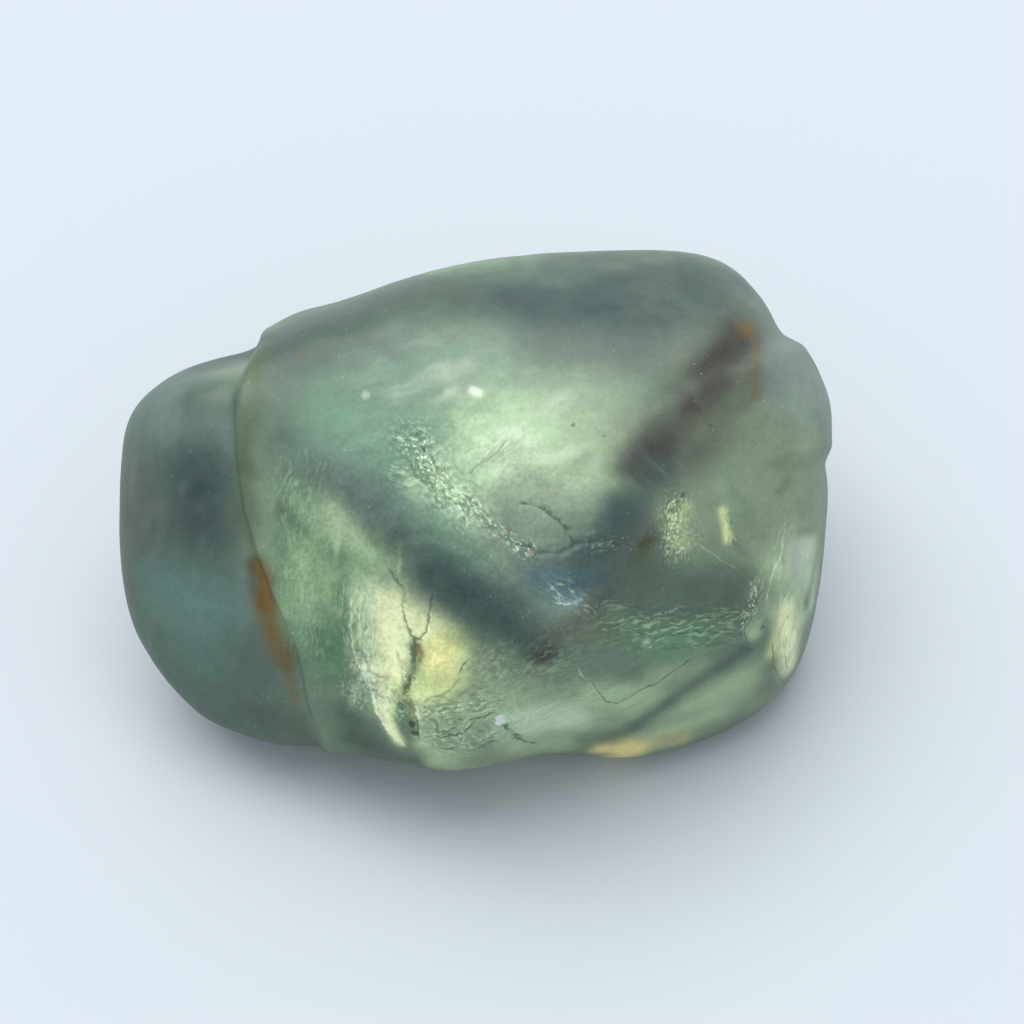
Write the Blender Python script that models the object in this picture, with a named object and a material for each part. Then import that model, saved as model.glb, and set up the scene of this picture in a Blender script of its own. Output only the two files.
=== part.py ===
"""A water-worn fluorite octahedron, built as one solid.

The crystal is held as a set of flat faces round its heart. Each face has a direction and a
distance, and the faces are blended into one another the way tumbling in water rounds them.
A cracked-off lobe, a split end and a few shell-shaped chips are then raised from or sunk
into that form, and the underside is cut flat where the stone rests.

Directions are given as the stone is seen from its best side, which looks forward and up:
turn is the angle round that line of sight, counted anticlockwise from the right, and tilt
is the angle away from it, so a tilt of 90 degrees is the rim and 180 is straight behind.

Units are metres, +Z is up, and the origin is on the ground below the middle of the stone.
"""

import math
from typing import NamedTuple

import bmesh
import bpy
import numpy as np

MM = 0.001
STONE_NAME = "fluorite_octahedron"

# Driving dimensions
HEART_MM = (0.0, 0.0, 8.8)  # the point that every face is measured from
SIGHT_RISE_DEG = 55.0  # how far the best side looks up from the horizon
WEAR = 15.0  # how crisp the worn edges are: a higher power rounds them less
CUTS_PER_SIDE = 30  # cuts across each side of the starting cube


class Face(NamedTuple):
    """A flat face of the crystal: where it looks, and how far it is from the heart."""

    turn_deg: float
    tilt_deg: float
    distance_mm: float


class Dish(NamedTuple):
    """A shell-shaped chip: where its middle is, how wide it is and how deep it was struck."""

    turn_deg: float
    tilt_deg: float
    radius_mm: float
    depth_mm: float


class Swell(NamedTuple):
    """A rise of the rim, or a nick in it, over a stretch of turn."""

    turn_deg: float
    spread_deg: float
    height_mm: float


OCTAHEDRON_FACES = {
    "main": Face(97, 12, 7.8),
    "lower_left": Face(229, 36, 8.4),
    "right": Face(343, 34, 10.2),
    "top": Face(88, 52, 9.7),
    "under_front": Face(266, 90, 10.8),
    "rear": Face(96, 125, 9.65),
    "rear_left": Face(166, 130, 12.2),
    "resting": Face(270, 145, 9.05),
}
BROKEN_FACES = {
    "front_strip": Face(290, 58, 10.0),
    "left_end": Face(183, 64, 13.8),
    "right_end": Face(352, 76, 14.3),
    "upper_right_end": Face(38, 76, 14.6),
    "lower_right_end": Face(319, 80, 14.9),
    "top_rim": Face(92, 86, 11.0),
    "upper_left_rim": Face(114, 80, 10.2),
    "lower_left_rim": Face(242, 82, 15.3),
    "front_rim": Face(286, 86, 13.1),
    "under_left": Face(218, 110, 14.7),
    "under_right": Face(320, 106, 20.0),
    "rear_right": Face(18, 126, 13.8),
}

# The seam where the left end has split and slipped: (up, right) along the split, in mm
SEAM_MM = (
    (-9.4, -6.6),
    (-5.5, -7.6),
    (-3.4, -8.45),
    (-1.8, -9.0),
    (0.0, -9.45),
    (2.4, -9.7),
    (4.5, -9.55),
    (7.2, -9.3),
)
SEAM_HALF_WIDTH_MM = 0.6
SEAM_DROP_MM = 0.55
SEAM_DROP_REACH_MM = 2.0
SEAM_LIP_MM = 0.22
SEAM_LIP_REACH_MM = 1.4
SEAM_SHARE_BEHIND = 0.12

# The lobe that stands out of the right end
LOBE_HEIGHT_MM = 0.40
LOBE_TURNS_DEG = (7.0, 10.5, 26.0, 30.0)  # starts to rise, full, starts to fall, gone
LOBE_INNER_MM = (11.2, 13.0)

RIM_SWELLS = (
    Swell(10, 5, -0.22),
    Swell(31, 3, -0.14),
    Swell(132, 6, 0.22),
    Swell(145, 4, -0.16),
    Swell(156, 5, 0.16),
    Swell(230, 5, 0.16),
    Swell(242, 6, -0.2),
    Swell(263, 9, 0.30),
    Swell(288, 8, -0.40),
    Swell(306, 8, 0.18),
)
DISHES = {
    "lower_left_bowl": Dish(254, 38, 3.4, 0.42),
    "right_hollow": Dish(338, 50, 3.0, 0.34),
    "right_end_chip": Dish(336, 78, 2.8, 0.32),
    "rear_chip": Dish(84, 118, 4.6, 0.60),
    "rear_left_chip": Dish(146, 106, 3.4, 0.45),
    "rear_right_chip": Dish(30, 112, 3.8, 0.50),
    "under_left_chip": Dish(226, 100, 2.8, 0.34),
}

STONE_COLOUR = (0.40, 0.53, 0.44, 1.0)
STONE_ROUGHNESS = 0.32
STONE_TRANSMISSION = 0.55
FLUORITE_IOR = 1.434
SMOOTH_BELOW_DEG = 40


def sight_axes():
    """The unit vectors right, up and out of the best side's view, as rows."""
    rise = math.radians(SIGHT_RISE_DEG)
    right = (1.0, 0.0, 0.0)
    up = (0.0, math.sin(rise), math.cos(rise))
    out = (0.0, -math.cos(rise), math.sin(rise))
    return np.array((right, up, out))


def outward(turn_deg, tilt_deg):
    """The unit vector at that turn and tilt."""
    turn, tilt = math.radians(turn_deg), math.radians(tilt_deg)
    in_sight = (
        math.sin(tilt) * math.cos(turn),
        math.sin(tilt) * math.sin(turn),
        math.cos(tilt),
    )
    return np.array(in_sight) @ sight_axes()


def ramp(low, high, values):
    """0 below low and 1 above high, with a smooth cubic rise between them."""
    share = np.clip((values - low) / (high - low), 0.0, 1.0)
    return share * share * (3.0 - 2.0 * share)


def hump(offset, reach):
    """A bell of height 1 at offset 0 that has all but gone at twice its reach."""
    return np.exp(-((offset / reach) ** 2))


def turned_apart(turns_deg, turn_deg):
    """The signed angle from turn_deg to each of turns_deg, between -180 and 180."""
    return (turns_deg - turn_deg + 180.0) % 360.0 - 180.0


def worn_crystal(directions):
    """Distance from the heart to the blended faces, in mm, along each unit direction.

    A face at distance d is met at d over the cosine between its normal and the direction.
    Summing the inverses of those distances, raised to the power WEAR, blends the faces.
    """
    faces = [*OCTAHEDRON_FACES.values(), *BROKEN_FACES.values()]
    normals = np.array([outward(face.turn_deg, face.tilt_deg) for face in faces])
    distances = np.array([face.distance_mm for face in faces])
    nearness = np.clip(directions @ normals.T, 0.0, None) / distances
    return (nearness**WEAR).sum(axis=1) ** (-1.0 / WEAR)


def seam_relief(right, up, out):
    """The step at the split end: a lip on the stone's side, a drop on the end's side."""
    seam_up, seam_right = np.array(SEAM_MM).T
    past = right - np.interp(up, seam_up, seam_right)
    stone_side = ramp(-SEAM_HALF_WIDTH_MM, SEAM_HALF_WIDTH_MM, past)
    drop = SEAM_DROP_MM * hump(np.minimum(past, 0.0), SEAM_DROP_REACH_MM)
    lip = SEAM_LIP_MM * hump(np.maximum(past, 0.0), SEAM_LIP_REACH_MM)
    share = SEAM_SHARE_BEHIND + (1.0 - SEAM_SHARE_BEHIND) * ramp(-3.0, 1.0, out)
    return share * (stone_side * lip - (1.0 - stone_side) * drop)


def rim_relief(right, up, out):
    """The lobe of the right end, and the rises and nicks of the rim."""
    turns_deg = np.degrees(np.arctan2(up, right))
    from_axis = np.hypot(right, up)
    start, full, fall, gone = LOBE_TURNS_DEG
    risen = ramp(start, full, turns_deg) * (1.0 - ramp(fall, gone, turns_deg))
    relief = LOBE_HEIGHT_MM * risen * ramp(*LOBE_INNER_MM, from_axis) * ramp(-6.0, -2.0, out)
    at_rim = ramp(7.5, 10.5, from_axis) * ramp(-6.0, -1.0, out)
    for swell in RIM_SWELLS:
        apart = turned_apart(turns_deg, swell.turn_deg)
        relief = relief + swell.height_mm * at_rim * hump(apart, swell.spread_deg)
    return relief


def dish_relief(points):
    """The chips: each falls from its rim to its middle as a shallow bowl."""
    relief = np.zeros(len(points))
    for dish in DISHES.values():
        direction = outward(dish.turn_deg, dish.tilt_deg)
        middle = direction * worn_crystal(direction[None, :])
        share = np.linalg.norm(points - middle, axis=1) / dish.radius_mm
        relief -= dish.depth_mm * np.clip(1.0 - share**2, 0.0, 1.0) ** 2
    return relief


def stone_surface(directions):
    """Points of the stone's surface, in mm from its heart, along each unit direction."""
    distance = worn_crystal(directions)
    points = directions * distance[:, None]
    right, up, out = (points @ sight_axes().T).T
    distance += seam_relief(right, up, out) + rim_relief(right, up, out) + dish_relief(points)
    return directions * distance[:, None]


def cube_directions(coordinates):
    """Unit vectors for points on the surface of a cube of side 2 that faces the viewer.

    Taking the tangent of each coordinate spreads them evenly over the sphere.
    """
    spread = np.tan(coordinates * math.pi / 4.0)
    spread /= np.linalg.norm(spread, axis=1, keepdims=True)
    return spread @ sight_axes()


def shape_stone():
    """The stone's mesh: a finely cut cube moved out to the surface, then cut flat below."""
    shape = bmesh.new()
    bmesh.ops.create_cube(shape, size=2.0)
    bmesh.ops.subdivide_edges(
        shape, edges=shape.edges[:], cuts=CUTS_PER_SIDE, use_grid_fill=True
    )
    corners = np.array([vertex.co for vertex in shape.verts])
    places = (stone_surface(cube_directions(corners)) + np.array(HEART_MM)) * MM
    for vertex, place in zip(shape.verts, places):
        vertex.co = place
    everything = shape.verts[:] + shape.edges[:] + shape.faces[:]
    cut = bmesh.ops.bisect_plane(
        shape, geom=everything, plane_co=(0, 0, 0), plane_no=(0, 0, 1), clear_inner=True
    )
    rim = [item for item in cut["geom_cut"] if isinstance(item, bmesh.types.BMEdge)]
    bmesh.ops.contextual_create(shape, geom=rim)
    bmesh.ops.triangulate(shape, faces=shape.faces[:], quad_method="SHORT_EDGE")
    bmesh.ops.beautify_fill(shape, faces=shape.faces[:], edges=shape.edges[:], method="ANGLE")
    bmesh.ops.recalc_face_normals(shape, faces=shape.faces[:])
    mesh = bpy.data.meshes.new(STONE_NAME)
    shape.to_mesh(mesh)
    shape.free()
    mesh.shade_smooth()
    mesh.set_sharp_from_angle(angle=math.radians(SMOOTH_BELOW_DEG))
    return mesh


def fluorite():
    """Frosted green fluorite."""
    material = bpy.data.materials.new("green_fluorite")
    material.use_nodes = True
    shader = material.node_tree.nodes["Principled BSDF"]
    shader.inputs["Base Color"].default_value = STONE_COLOUR
    shader.inputs["Roughness"].default_value = STONE_ROUGHNESS
    shader.inputs["IOR"].default_value = FLUORITE_IOR
    shader.inputs["Transmission Weight"].default_value = STONE_TRANSMISSION
    return material


def clear_scene():
    """Removes whatever the scene starts with."""
    for obj in list(bpy.data.objects):
        bpy.data.objects.remove(obj)


def main():
    """Builds the stone as one object in a collection of its own."""
    clear_scene()
    collection = bpy.data.collections.new(STONE_NAME)
    bpy.context.scene.collection.children.link(collection)
    stone = bpy.data.objects.new(STONE_NAME, shape_stone())
    stone.data.materials.append(fluorite())
    collection.objects.link(stone)


main()
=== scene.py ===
"""Dresses a water-worn fluorite octahedron that rests on pale paper.

The stone is one crystal. Its surface is worked out again from the same faces as the solid,
far more finely, with its cracks, chips and crumbled fractures, and its growth zones and
staining are carried on the surface as colour. Painted into that colour too are the glow of
light through the stone, its glints, and shade along its rims.

Lengths in the classes are millimetres, because the stone is small, and meshes are metres.
Places on the stone are given from its heart, as its best side is seen: right, up and out.
Turn is the angle round the line of sight, anticlockwise from the right, and tilt is the
angle away from it.
"""

from __future__ import annotations

import logging
import math
from dataclasses import dataclass
from enum import Enum

import bpy
import numpy as np
from mathutils import Matrix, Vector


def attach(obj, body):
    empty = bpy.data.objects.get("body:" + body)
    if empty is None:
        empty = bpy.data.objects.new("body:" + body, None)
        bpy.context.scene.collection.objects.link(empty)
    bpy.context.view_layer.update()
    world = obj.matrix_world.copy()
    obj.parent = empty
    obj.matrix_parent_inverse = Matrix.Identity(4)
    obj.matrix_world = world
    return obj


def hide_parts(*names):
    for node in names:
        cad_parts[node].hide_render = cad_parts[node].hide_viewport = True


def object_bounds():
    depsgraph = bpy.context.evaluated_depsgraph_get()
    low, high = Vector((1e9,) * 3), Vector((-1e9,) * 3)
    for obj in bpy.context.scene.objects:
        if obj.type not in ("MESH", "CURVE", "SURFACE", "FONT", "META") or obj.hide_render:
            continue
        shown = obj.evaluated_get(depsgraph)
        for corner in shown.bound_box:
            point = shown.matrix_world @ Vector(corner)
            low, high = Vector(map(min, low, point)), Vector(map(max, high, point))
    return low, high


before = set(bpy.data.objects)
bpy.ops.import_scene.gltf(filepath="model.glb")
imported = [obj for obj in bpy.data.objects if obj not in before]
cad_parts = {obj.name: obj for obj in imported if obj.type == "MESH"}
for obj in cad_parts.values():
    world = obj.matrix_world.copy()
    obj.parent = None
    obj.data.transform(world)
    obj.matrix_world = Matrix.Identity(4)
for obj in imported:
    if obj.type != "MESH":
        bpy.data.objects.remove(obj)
cad_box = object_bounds()

log = logging.getLogger("fluorite")

MM = 0.001
BITS_32 = 0xFFFFFFFF
BITS_24 = 0xFFFFFF
AXIS_STIRS = (73856093, 19349663, 83492791)
SEED_STIR = 2654435761
STIRS = ((15, 2246822519), (13, 3266489917))  # bits shifted, then a multiplier
LAST_SHIFT = 16
STONE_NODE = "fluorite_octahedron"
Array = np.ndarray
Colour = tuple[float, float, float]
Path = tuple[tuple[float, float], ...]
Socket = bpy.types.NodeSocket
Source = Socket | float | Colour


def eased(share: Array) -> Array:
    """The smooth cubic of shares from 0 to 1: each share s becomes s * s * (3 - 2 s)."""
    return share * share * (3.0 - 2.0 * share)


def ramp(low: float, high: float, values: Array) -> Array:
    """Rises from 0 at low to 1 at high, by the smooth cubic of the share of the way."""
    return eased(np.clip((values - low) / (high - low), 0.0, 1.0))


def hump(offset: Array, reach: float) -> Array:
    """A bell: e to the power of minus the square of offset over reach."""
    return np.exp(-((offset / reach) ** 2))


def unit(vectors: Array) -> Array:
    """The vectors at length 1, a row each."""
    return vectors / np.linalg.norm(vectors, axis=1, keepdims=True)


def turned_apart(turns_deg: Array, turn_deg: float) -> Array:
    """The signed angle from turn_deg to each turn, between -180 and 180."""
    return (turns_deg - turn_deg + 180.0) % 360.0 - 180.0


def lattice_noise(points: Array, cell: float, seed: int) -> Array:
    """Smooth value noise.

    Space is cut into cubes. Each corner has a value hashed from its whole coordinates, and
    a point takes the eight corners' values in shares that fade by the smooth cubic.

    Args:
        points: places, one row each.
        cell: the cubes' side, in the points' own unit.
        seed: a whole number that picks the pattern.

    Returns:
        One value a point, between -1 and 1.
    """
    place = points / cell
    corner = np.floor(place).astype(np.int64)
    share = eased(place - corner)
    total = np.zeros(len(points))
    for step in np.ndindex(2, 2, 2):
        x, y, z = ((corner + np.array(step)) * AXIS_STIRS).T
        mixed = (x ^ y ^ z ^ seed * SEED_STIR) & BITS_32
        for shift, stir in STIRS:
            mixed = (mixed ^ (mixed >> shift)) * stir & BITS_32
        value = ((mixed ^ (mixed >> LAST_SHIFT)) & BITS_24) / BITS_24 * 2.0 - 1.0
        weight = np.where(np.array(step) == 1, share, 1.0 - share).prod(axis=1)
        total += weight * value
    return total


def layered_noise(points: Array, cell: float, octaves: int, seed: int) -> Array:
    """Value noise in octaves: each has half the cell and half the height of the last.

    Args:
        points: places, one row each.
        cell: the coarsest octave's cell.
        octaves: how many are added.
        seed: the coarsest octave's seed.

    Returns:
        One value a point, mostly between -1 and 1.
    """
    total = np.zeros(len(points))
    for octave in range(octaves):
        total += lattice_noise(points, cell / 2**octave, seed + octave) / 2**octave
    return total / (2.0 - 0.5 ** (octaves - 1))


@dataclass(frozen=True)
class Noise:
    """One pattern of layered noise, for places in mm."""

    cell_mm: float
    octaves: int
    seed: int

    def at(self, places_mm: Array) -> Array:
        """The noise at each place, about 0."""
        return layered_noise(places_mm, self.cell_mm, self.octaves, self.seed)


def pushes(noises: tuple[Noise, ...], places_mm: Array) -> Array:
    """One noise for each axis, as a vector a place."""
    return np.stack([noise.at(places_mm) for noise in noises], axis=1)


def leaning(places_mm: Array, lean_deg: float, stretch: float) -> tuple[Array, Array]:
    """Turns places to a lean and squeezes them along it, so that noise is drawn out along it.

    Args:
        places_mm: places as right, up and out, a row each.
        lean_deg: the lean's angle from the right.
        stretch: what the way along is divided by.

    Returns:
        The way along the lean and the way across it, in mm.
    """
    lean = math.radians(lean_deg)
    right, up = places_mm[:, 0], places_mm[:, 1]
    along = (right * math.cos(lean) + up * math.sin(lean)) / stretch
    return along, up * math.cos(lean) - right * math.sin(lean)


@dataclass(frozen=True)
class Rise:
    """A smooth rise of a share: 0 at the start, and the most from the full level on."""

    start: float
    full: float
    most: float = 1.0


@dataclass
class NodeBoard:
    """Adds shader nodes to a tree, and joins a socket or a plain value to each input."""

    tree: bpy.types.NodeTree
    dot_end: float = 1.6  # where a dot has faded out, in its radii

    def join(self, source: Source, target: Socket) -> None:
        """Links a socket to the target, or writes a plain value on it.

        Args:
            source: a socket, a number, or a colour or place of three numbers.
            target: the input that takes it.
        """
        if isinstance(source, Socket):
            self.tree.links.new(source, target)
        elif target.type == "RGBA":
            target.default_value = (*source, 1.0)
        else:
            target.default_value = source

    def add(self, kind: str, inputs: dict[str | int, Source], **settings: str) -> bpy.types.Node:
        """Adds a node.

        Args:
            kind: the node's type, without the word that all shader nodes start with.
            inputs: what each input takes, by its name or number.
            **settings: the node's own settings, which are made first.

        Returns:
            The node.
        """
        node = self.tree.nodes.new("ShaderNode" + kind)
        for name, setting in settings.items():
            setattr(node, name, setting)
        for key, source in inputs.items():
            self.join(source, node.inputs[key])
        return node

    def attribute(self, name: str, output: str) -> Socket:
        """Reads an attribute of the mesh."""
        return self.add("Attribute", {}, attribute_name=name).outputs[output]

    def place(self) -> Socket:
        """The place on the object, in mm."""
        return self.scale(self.add("TexCoord", {}).outputs["Object"], 1.0 / MM)

    def parts(self, vector: Source) -> tuple[Socket, ...]:
        """The three numbers of a vector."""
        return tuple(self.add("SeparateXYZ", {"Vector": vector}).outputs)

    def noise(self, place: Source, per_mm: float, detail: float) -> Socket:
        """Noise with so many cells a millimetre, from 0 to 1."""
        return self.add("TexNoise", {"Vector": place, "Scale": per_mm, "Detail": detail}).outputs["Fac"]

    def noise_vector(self, place: Source, per_mm: float) -> Socket:
        """Three noises about 0 as a vector.

        Args:
            place: where the noise is read.
            per_mm: its cells a millimetre.

        Returns:
            The vector's socket.
        """
        noise = self.add("TexNoise", {"Vector": place, "Scale": per_mm}).outputs["Color"]
        middle = (0.5, 0.5, 0.5)
        return self.add("VectorMath", {0: noise, 1: middle}, operation="SUBTRACT").outputs["Vector"]

    def dots(self, place: Source, per_mm: float, radius_share: float) -> Socket:
        """Sparse round dots: 1 inside each, with so many cells a millimetre."""
        away = self.add("TexVoronoi", {"Vector": place, "Scale": per_mm}).outputs["Distance"]
        return self.rise(away, Rise(radius_share * self.dot_end, radius_share))

    def spot(self, place: Source, middle: Colour, radius_mm: float, edge_mm: float) -> Socket:
        """A round spot: 1 within the radius of its middle, fading over the edge."""
        away = self.add("VectorMath", {0: place, 1: middle}, operation="DISTANCE").outputs["Value"]
        return self.rise(away, Rise(radius_mm + edge_mm, radius_mm))

    def math(self, kind: str, first: Source, second: Source) -> Socket:
        """One sum of two values."""
        return self.add("Math", {0: first, 1: second}, operation=kind).outputs["Value"]

    def span(self, value: Source, low: float, high: float, to_low: float, to_high: float) -> Socket:
        """Maps low to high on to to_low to to_high, smoothly, and clamps."""
        inputs = {"Value": value, "From Min": low, "From Max": high, "To Min": to_low, "To Max": to_high}
        return self.add("MapRange", inputs, interpolation_type="SMOOTHSTEP").outputs["Result"]

    def rise(self, value: Source, rise: Rise) -> Socket:
        """Maps a value to a share."""
        return self.span(value, rise.start, rise.full, 0.0, rise.most)

    def mix(self, under: Source, over: Source, share: Source) -> Socket:
        """Moves one colour towards another by a share."""
        inputs = {"Factor": share, "A": under, "B": over}
        return self.add("Mix", inputs, data_type="RGBA").outputs["Result"]

    def scale(self, colour: Source, level: Source) -> Socket:
        """Multiplies a colour by a number."""
        inputs = {"Vector": colour, "Scale": level}
        return self.add("VectorMath", inputs, operation="SCALE").outputs["Vector"]

    def shift(self, place: Source, by: Source) -> Socket:
        """Adds a vector to a place."""
        return self.add("VectorMath", {0: place, 1: by}, operation="ADD").outputs["Vector"]

    def bump(self, height: Source, distance_m: float) -> Socket:
        """Tilts the normal by a height, whose 1 stands for a distance."""
        return self.add("Bump", {"Distance": distance_m, "Height": height}).outputs["Normal"]


@dataclass(frozen=True)
class Sight:
    """The best side's line of sight, and the stone's heart that all places start from."""

    rise_deg: float = 55.0
    heart_mm: tuple[float, float, float] = (0.0, 0.0, 8.8)

    def axes(self) -> Array:
        """Works out the view's own axes.

        Returns:
            The unit vectors right, up and out of the view, a row each.
        """
        rise = math.radians(self.rise_deg)
        up = (0.0, math.sin(rise), math.cos(rise))
        out = (0.0, -math.cos(rise), math.sin(rise))
        return np.array(((1.0, 0.0, 0.0), up, out))

    def outward(self, turn_deg: float, tilt_deg: float) -> Array:
        """Finds the direction at a turn and a tilt.

        Args:
            turn_deg: the angle round the line of sight, from the right.
            tilt_deg: the angle away from the line of sight.

        Returns:
            A unit vector in the scene's own axes.
        """
        turn, tilt = math.radians(turn_deg), math.radians(tilt_deg)
        flat = math.sin(tilt)
        return np.array((flat * math.cos(turn), flat * math.sin(turn), math.cos(tilt))) @ self.axes()

    def out_of(self, sight: Array) -> list[tuple[float, float, float]]:
        """Places as right, up and out, as points of the scene in mm."""
        return [tuple(point) for point in (sight @ self.axes() + np.array(self.heart_mm)).tolist()]

    def world(self, places_mm: Array) -> Array:
        """Places from the heart in mm, as points of the scene in metres."""
        return (places_mm + np.array(self.heart_mm)) * MM


SIGHT = Sight()


def shown(red: int, green: int, blue: int) -> Colour:
    """Turns a colour as a screen shows it into linear light.

    Each share above 0.04045 has 0.055 added, is divided by 1.055 and is raised to the power
    of 2.4, and a lower one is divided by 12.92.

    Args:
        red: from 0 to 255.
        green: from 0 to 255.
        blue: from 0 to 255.

    Returns:
        Red, green and blue from 0 to 1.
    """
    return tuple(
        share / 12.92 if share <= 0.04045 else ((share + 0.055) / 1.055) ** 2.4
        for share in (red / 255, green / 255, blue / 255)
    )


class Tint(Enum):
    """The crystal's colours, its growth zones and staining, and its painted glow, glints and shade, in
    linear light.
    """

    SAGE = shown(100, 121, 102)
    MIST = shown(104, 132, 113)
    SEAFOAM = shown(94, 130, 105)
    CELERY = shown(137, 168, 126)
    JADE = shown(99, 140, 114)
    LEAF = shown(133, 149, 121)
    PALE = shown(166, 189, 149)
    # Painted glow of light passing through the stone.
    PAINTED_GLOW = shown(181, 207, 165)
    LEMON = shown(238, 249, 168)
    PRIMROSE = shown(250, 255, 200)
    AMBER = shown(250, 226, 150)
    MILK = shown(232, 240, 222)
    FOG = shown(71, 88, 75)
    DUSK = shown(46, 65, 67)
    ASH = shown(79, 100, 90)
    ASH_LIGHT = shown(127, 141, 134)
    AQUA = shown(96, 128, 122)
    TEAL = shown(77, 119, 86)
    STEEL = shown(75, 94, 88)
    INK = shown(44, 67, 65)
    TIDE = shown(48, 77, 85)
    # A painted blue-white glint.
    PAINTED_GLINT = shown(126, 152, 172)
    UMBER = shown(52, 44, 40)
    ROSE = shown(79, 75, 71)
    MOSS = shown(81, 99, 74)
    OLIVE = shown(71, 83, 42)
    RUST = shown(112, 80, 8)
    CHALK = shown(236, 232, 240)
    COCOA = shown(88, 67, 54)
    GINGER = shown(128, 104, 56)
    SOOT = shown(44, 54, 44)


class Given(Enum):
    """How a path's points are given, and how much depth counts in distances to it."""

    IN_SIGHT = 0.3  # right and up, in mm
    ROUND = 1.0  # turn and tilt, in degrees


@dataclass(frozen=True)
class Face:
    """A flat face of the crystal: where it looks, and its distance from the heart."""

    turn_deg: float
    tilt_deg: float
    distance_mm: float

    def normal(self) -> Array:
        """The face's outward unit vector."""
        return SIGHT.outward(self.turn_deg, self.tilt_deg)


@dataclass(frozen=True)
class Dish:
    """A shell-shaped chip: where its middle is, its radius and its depth."""

    turn_deg: float
    tilt_deg: float
    radius_mm: float
    depth_mm: float


@dataclass(frozen=True)
class Swell:
    """A rise of the rim, or a nick in it, over a stretch of turn."""

    turn_deg: float
    spread_deg: float
    height_mm: float


@dataclass(frozen=True)
class WornCrystal:
    """The crystal's faces, blended the way tumbling in water rounds them."""

    wear: float = 15.0
    faces: tuple[Face, ...] = (
        Face(97, 12, 7.8),  # main
        Face(229, 36, 8.4),  # lower left
        Face(343, 34, 10.2),  # right
        Face(88, 52, 9.7),  # top
        Face(266, 90, 10.8),  # under the front
        Face(96, 125, 9.65),  # rear
        Face(166, 130, 12.2),  # rear left
        Face(270, 145, 9.05),  # resting
        Face(290, 58, 10.0),  # front strip
        Face(183, 64, 13.8),  # left end
        Face(352, 76, 14.3),  # right end
        Face(38, 76, 14.6),  # upper right end
        Face(319, 80, 14.9),  # lower right end
        Face(92, 86, 11.0),  # top rim
        Face(114, 80, 10.2),  # upper left rim
        Face(242, 82, 15.3),  # lower left rim
        Face(286, 86, 13.1),  # front rim
        Face(218, 110, 14.7),  # under the left
        Face(320, 106, 20.0),  # under the right
        Face(18, 126, 13.8),  # rear right
    )

    def distance(self, directions: Array) -> Array:
        """Distance from the heart to the blended faces along each direction.

        A face at distance d is met at d over the cosine between its normal and the
        direction. The inverses of those distances, raised to the power of the wear and
        summed, blend the faces.

        Args:
            directions: unit vectors, one row each.

        Returns:
            Distances in mm.
        """
        normals = np.array([face.normal() for face in self.faces])
        nearness = np.clip(directions @ normals.T, 0.0, None)
        nearness /= np.array([face.distance_mm for face in self.faces])
        return (nearness**self.wear).sum(axis=1) ** (-1.0 / self.wear)


@dataclass(frozen=True)
class SlippedEnd:
    """The step where the left end has split along a cleavage and slipped."""

    line_mm: tuple[tuple[float, float], ...] = (
        (-9.4, -6.6),
        (-5.5, -7.6),
        (-3.4, -8.45),
        (-1.8, -9.0),
        (0.0, -9.45),
        (2.4, -9.7),
        (4.5, -9.55),
        (7.2, -9.3),
    )
    half_width_mm: float = 0.6
    drop_mm: float = 0.55
    drop_reach_mm: float = 2.0
    lip_mm: float = 0.22
    lip_reach_mm: float = 1.4
    share_behind: float = 0.12
    seen_mm: tuple[float, float] = (-3.0, 1.0)  # it is whole from the second on

    def past(self, sight: Array) -> Array:
        """How far right of the split each place is, in mm: the line is right over up."""
        line_up, line_right = np.array(self.line_mm).T
        return sight[:, 0] - np.interp(sight[:, 1], line_up, line_right)

    def relief(self, sight: Array) -> Array:
        """The step, in mm: a lip on the stone's side and a drop on the end's side.

        Each is a bell of the distance to the split, and a smooth ramp joins the two.

        Args:
            sight: places as right, up and out, in mm.

        Returns:
            Heights in mm.
        """
        past = self.past(sight)
        stone_side = ramp(-self.half_width_mm, self.half_width_mm, past)
        drop = self.drop_mm * hump(np.minimum(past, 0.0), self.drop_reach_mm)
        lip = self.lip_mm * hump(np.maximum(past, 0.0), self.lip_reach_mm)
        share = self.share_behind + (1.0 - self.share_behind) * ramp(*self.seen_mm, sight[:, 2])
        return share * (stone_side * lip - (1.0 - stone_side) * drop)


@dataclass(frozen=True)
class WornRim:
    """The lobe of the right end, and the rises and nicks of the rim."""

    lobe_height_mm: float = 0.40
    lobe_turns_deg: tuple[float, float, float, float] = (7.0, 10.5, 26.0, 30.0)
    lobe_inner_mm: tuple[float, float] = (11.2, 13.0)
    lobe_out_mm: tuple[float, float] = (-6.0, -2.0)
    rim_inner_mm: tuple[float, float] = (7.5, 10.5)
    rim_out_mm: tuple[float, float] = (-6.0, -1.0)
    swells: tuple[Swell, ...] = (
        Swell(10, 5, -0.22),
        Swell(31, 3, -0.14),
        Swell(132, 6, 0.22),
        Swell(145, 4, -0.16),
        Swell(156, 5, 0.16),
        Swell(230, 5, 0.16),
        Swell(242, 6, -0.2),
        Swell(263, 9, 0.30),
        Swell(288, 8, -0.40),
        Swell(306, 8, 0.18),
    )

    def relief(self, sight: Array) -> Array:
        """Heights in mm: a lobe between two turns, and a bell of the turn for each swell.

        Args:
            sight: places as right, up and out, in mm.

        Returns:
            Heights in mm.
        """
        right, up, out = sight.T
        turns_deg = np.degrees(np.arctan2(up, right))
        from_axis = np.hypot(right, up)
        start, full, fall, gone = self.lobe_turns_deg
        risen = ramp(start, full, turns_deg) * (1.0 - ramp(fall, gone, turns_deg))
        height = self.lobe_height_mm * risen
        height = height * ramp(*self.lobe_inner_mm, from_axis) * ramp(*self.lobe_out_mm, out)
        at_rim = ramp(*self.rim_inner_mm, from_axis) * ramp(*self.rim_out_mm, out)
        for swell in self.swells:
            apart = turned_apart(turns_deg, swell.turn_deg)
            height = height + swell.height_mm * at_rim * hump(apart, swell.spread_deg)
        return height


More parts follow.
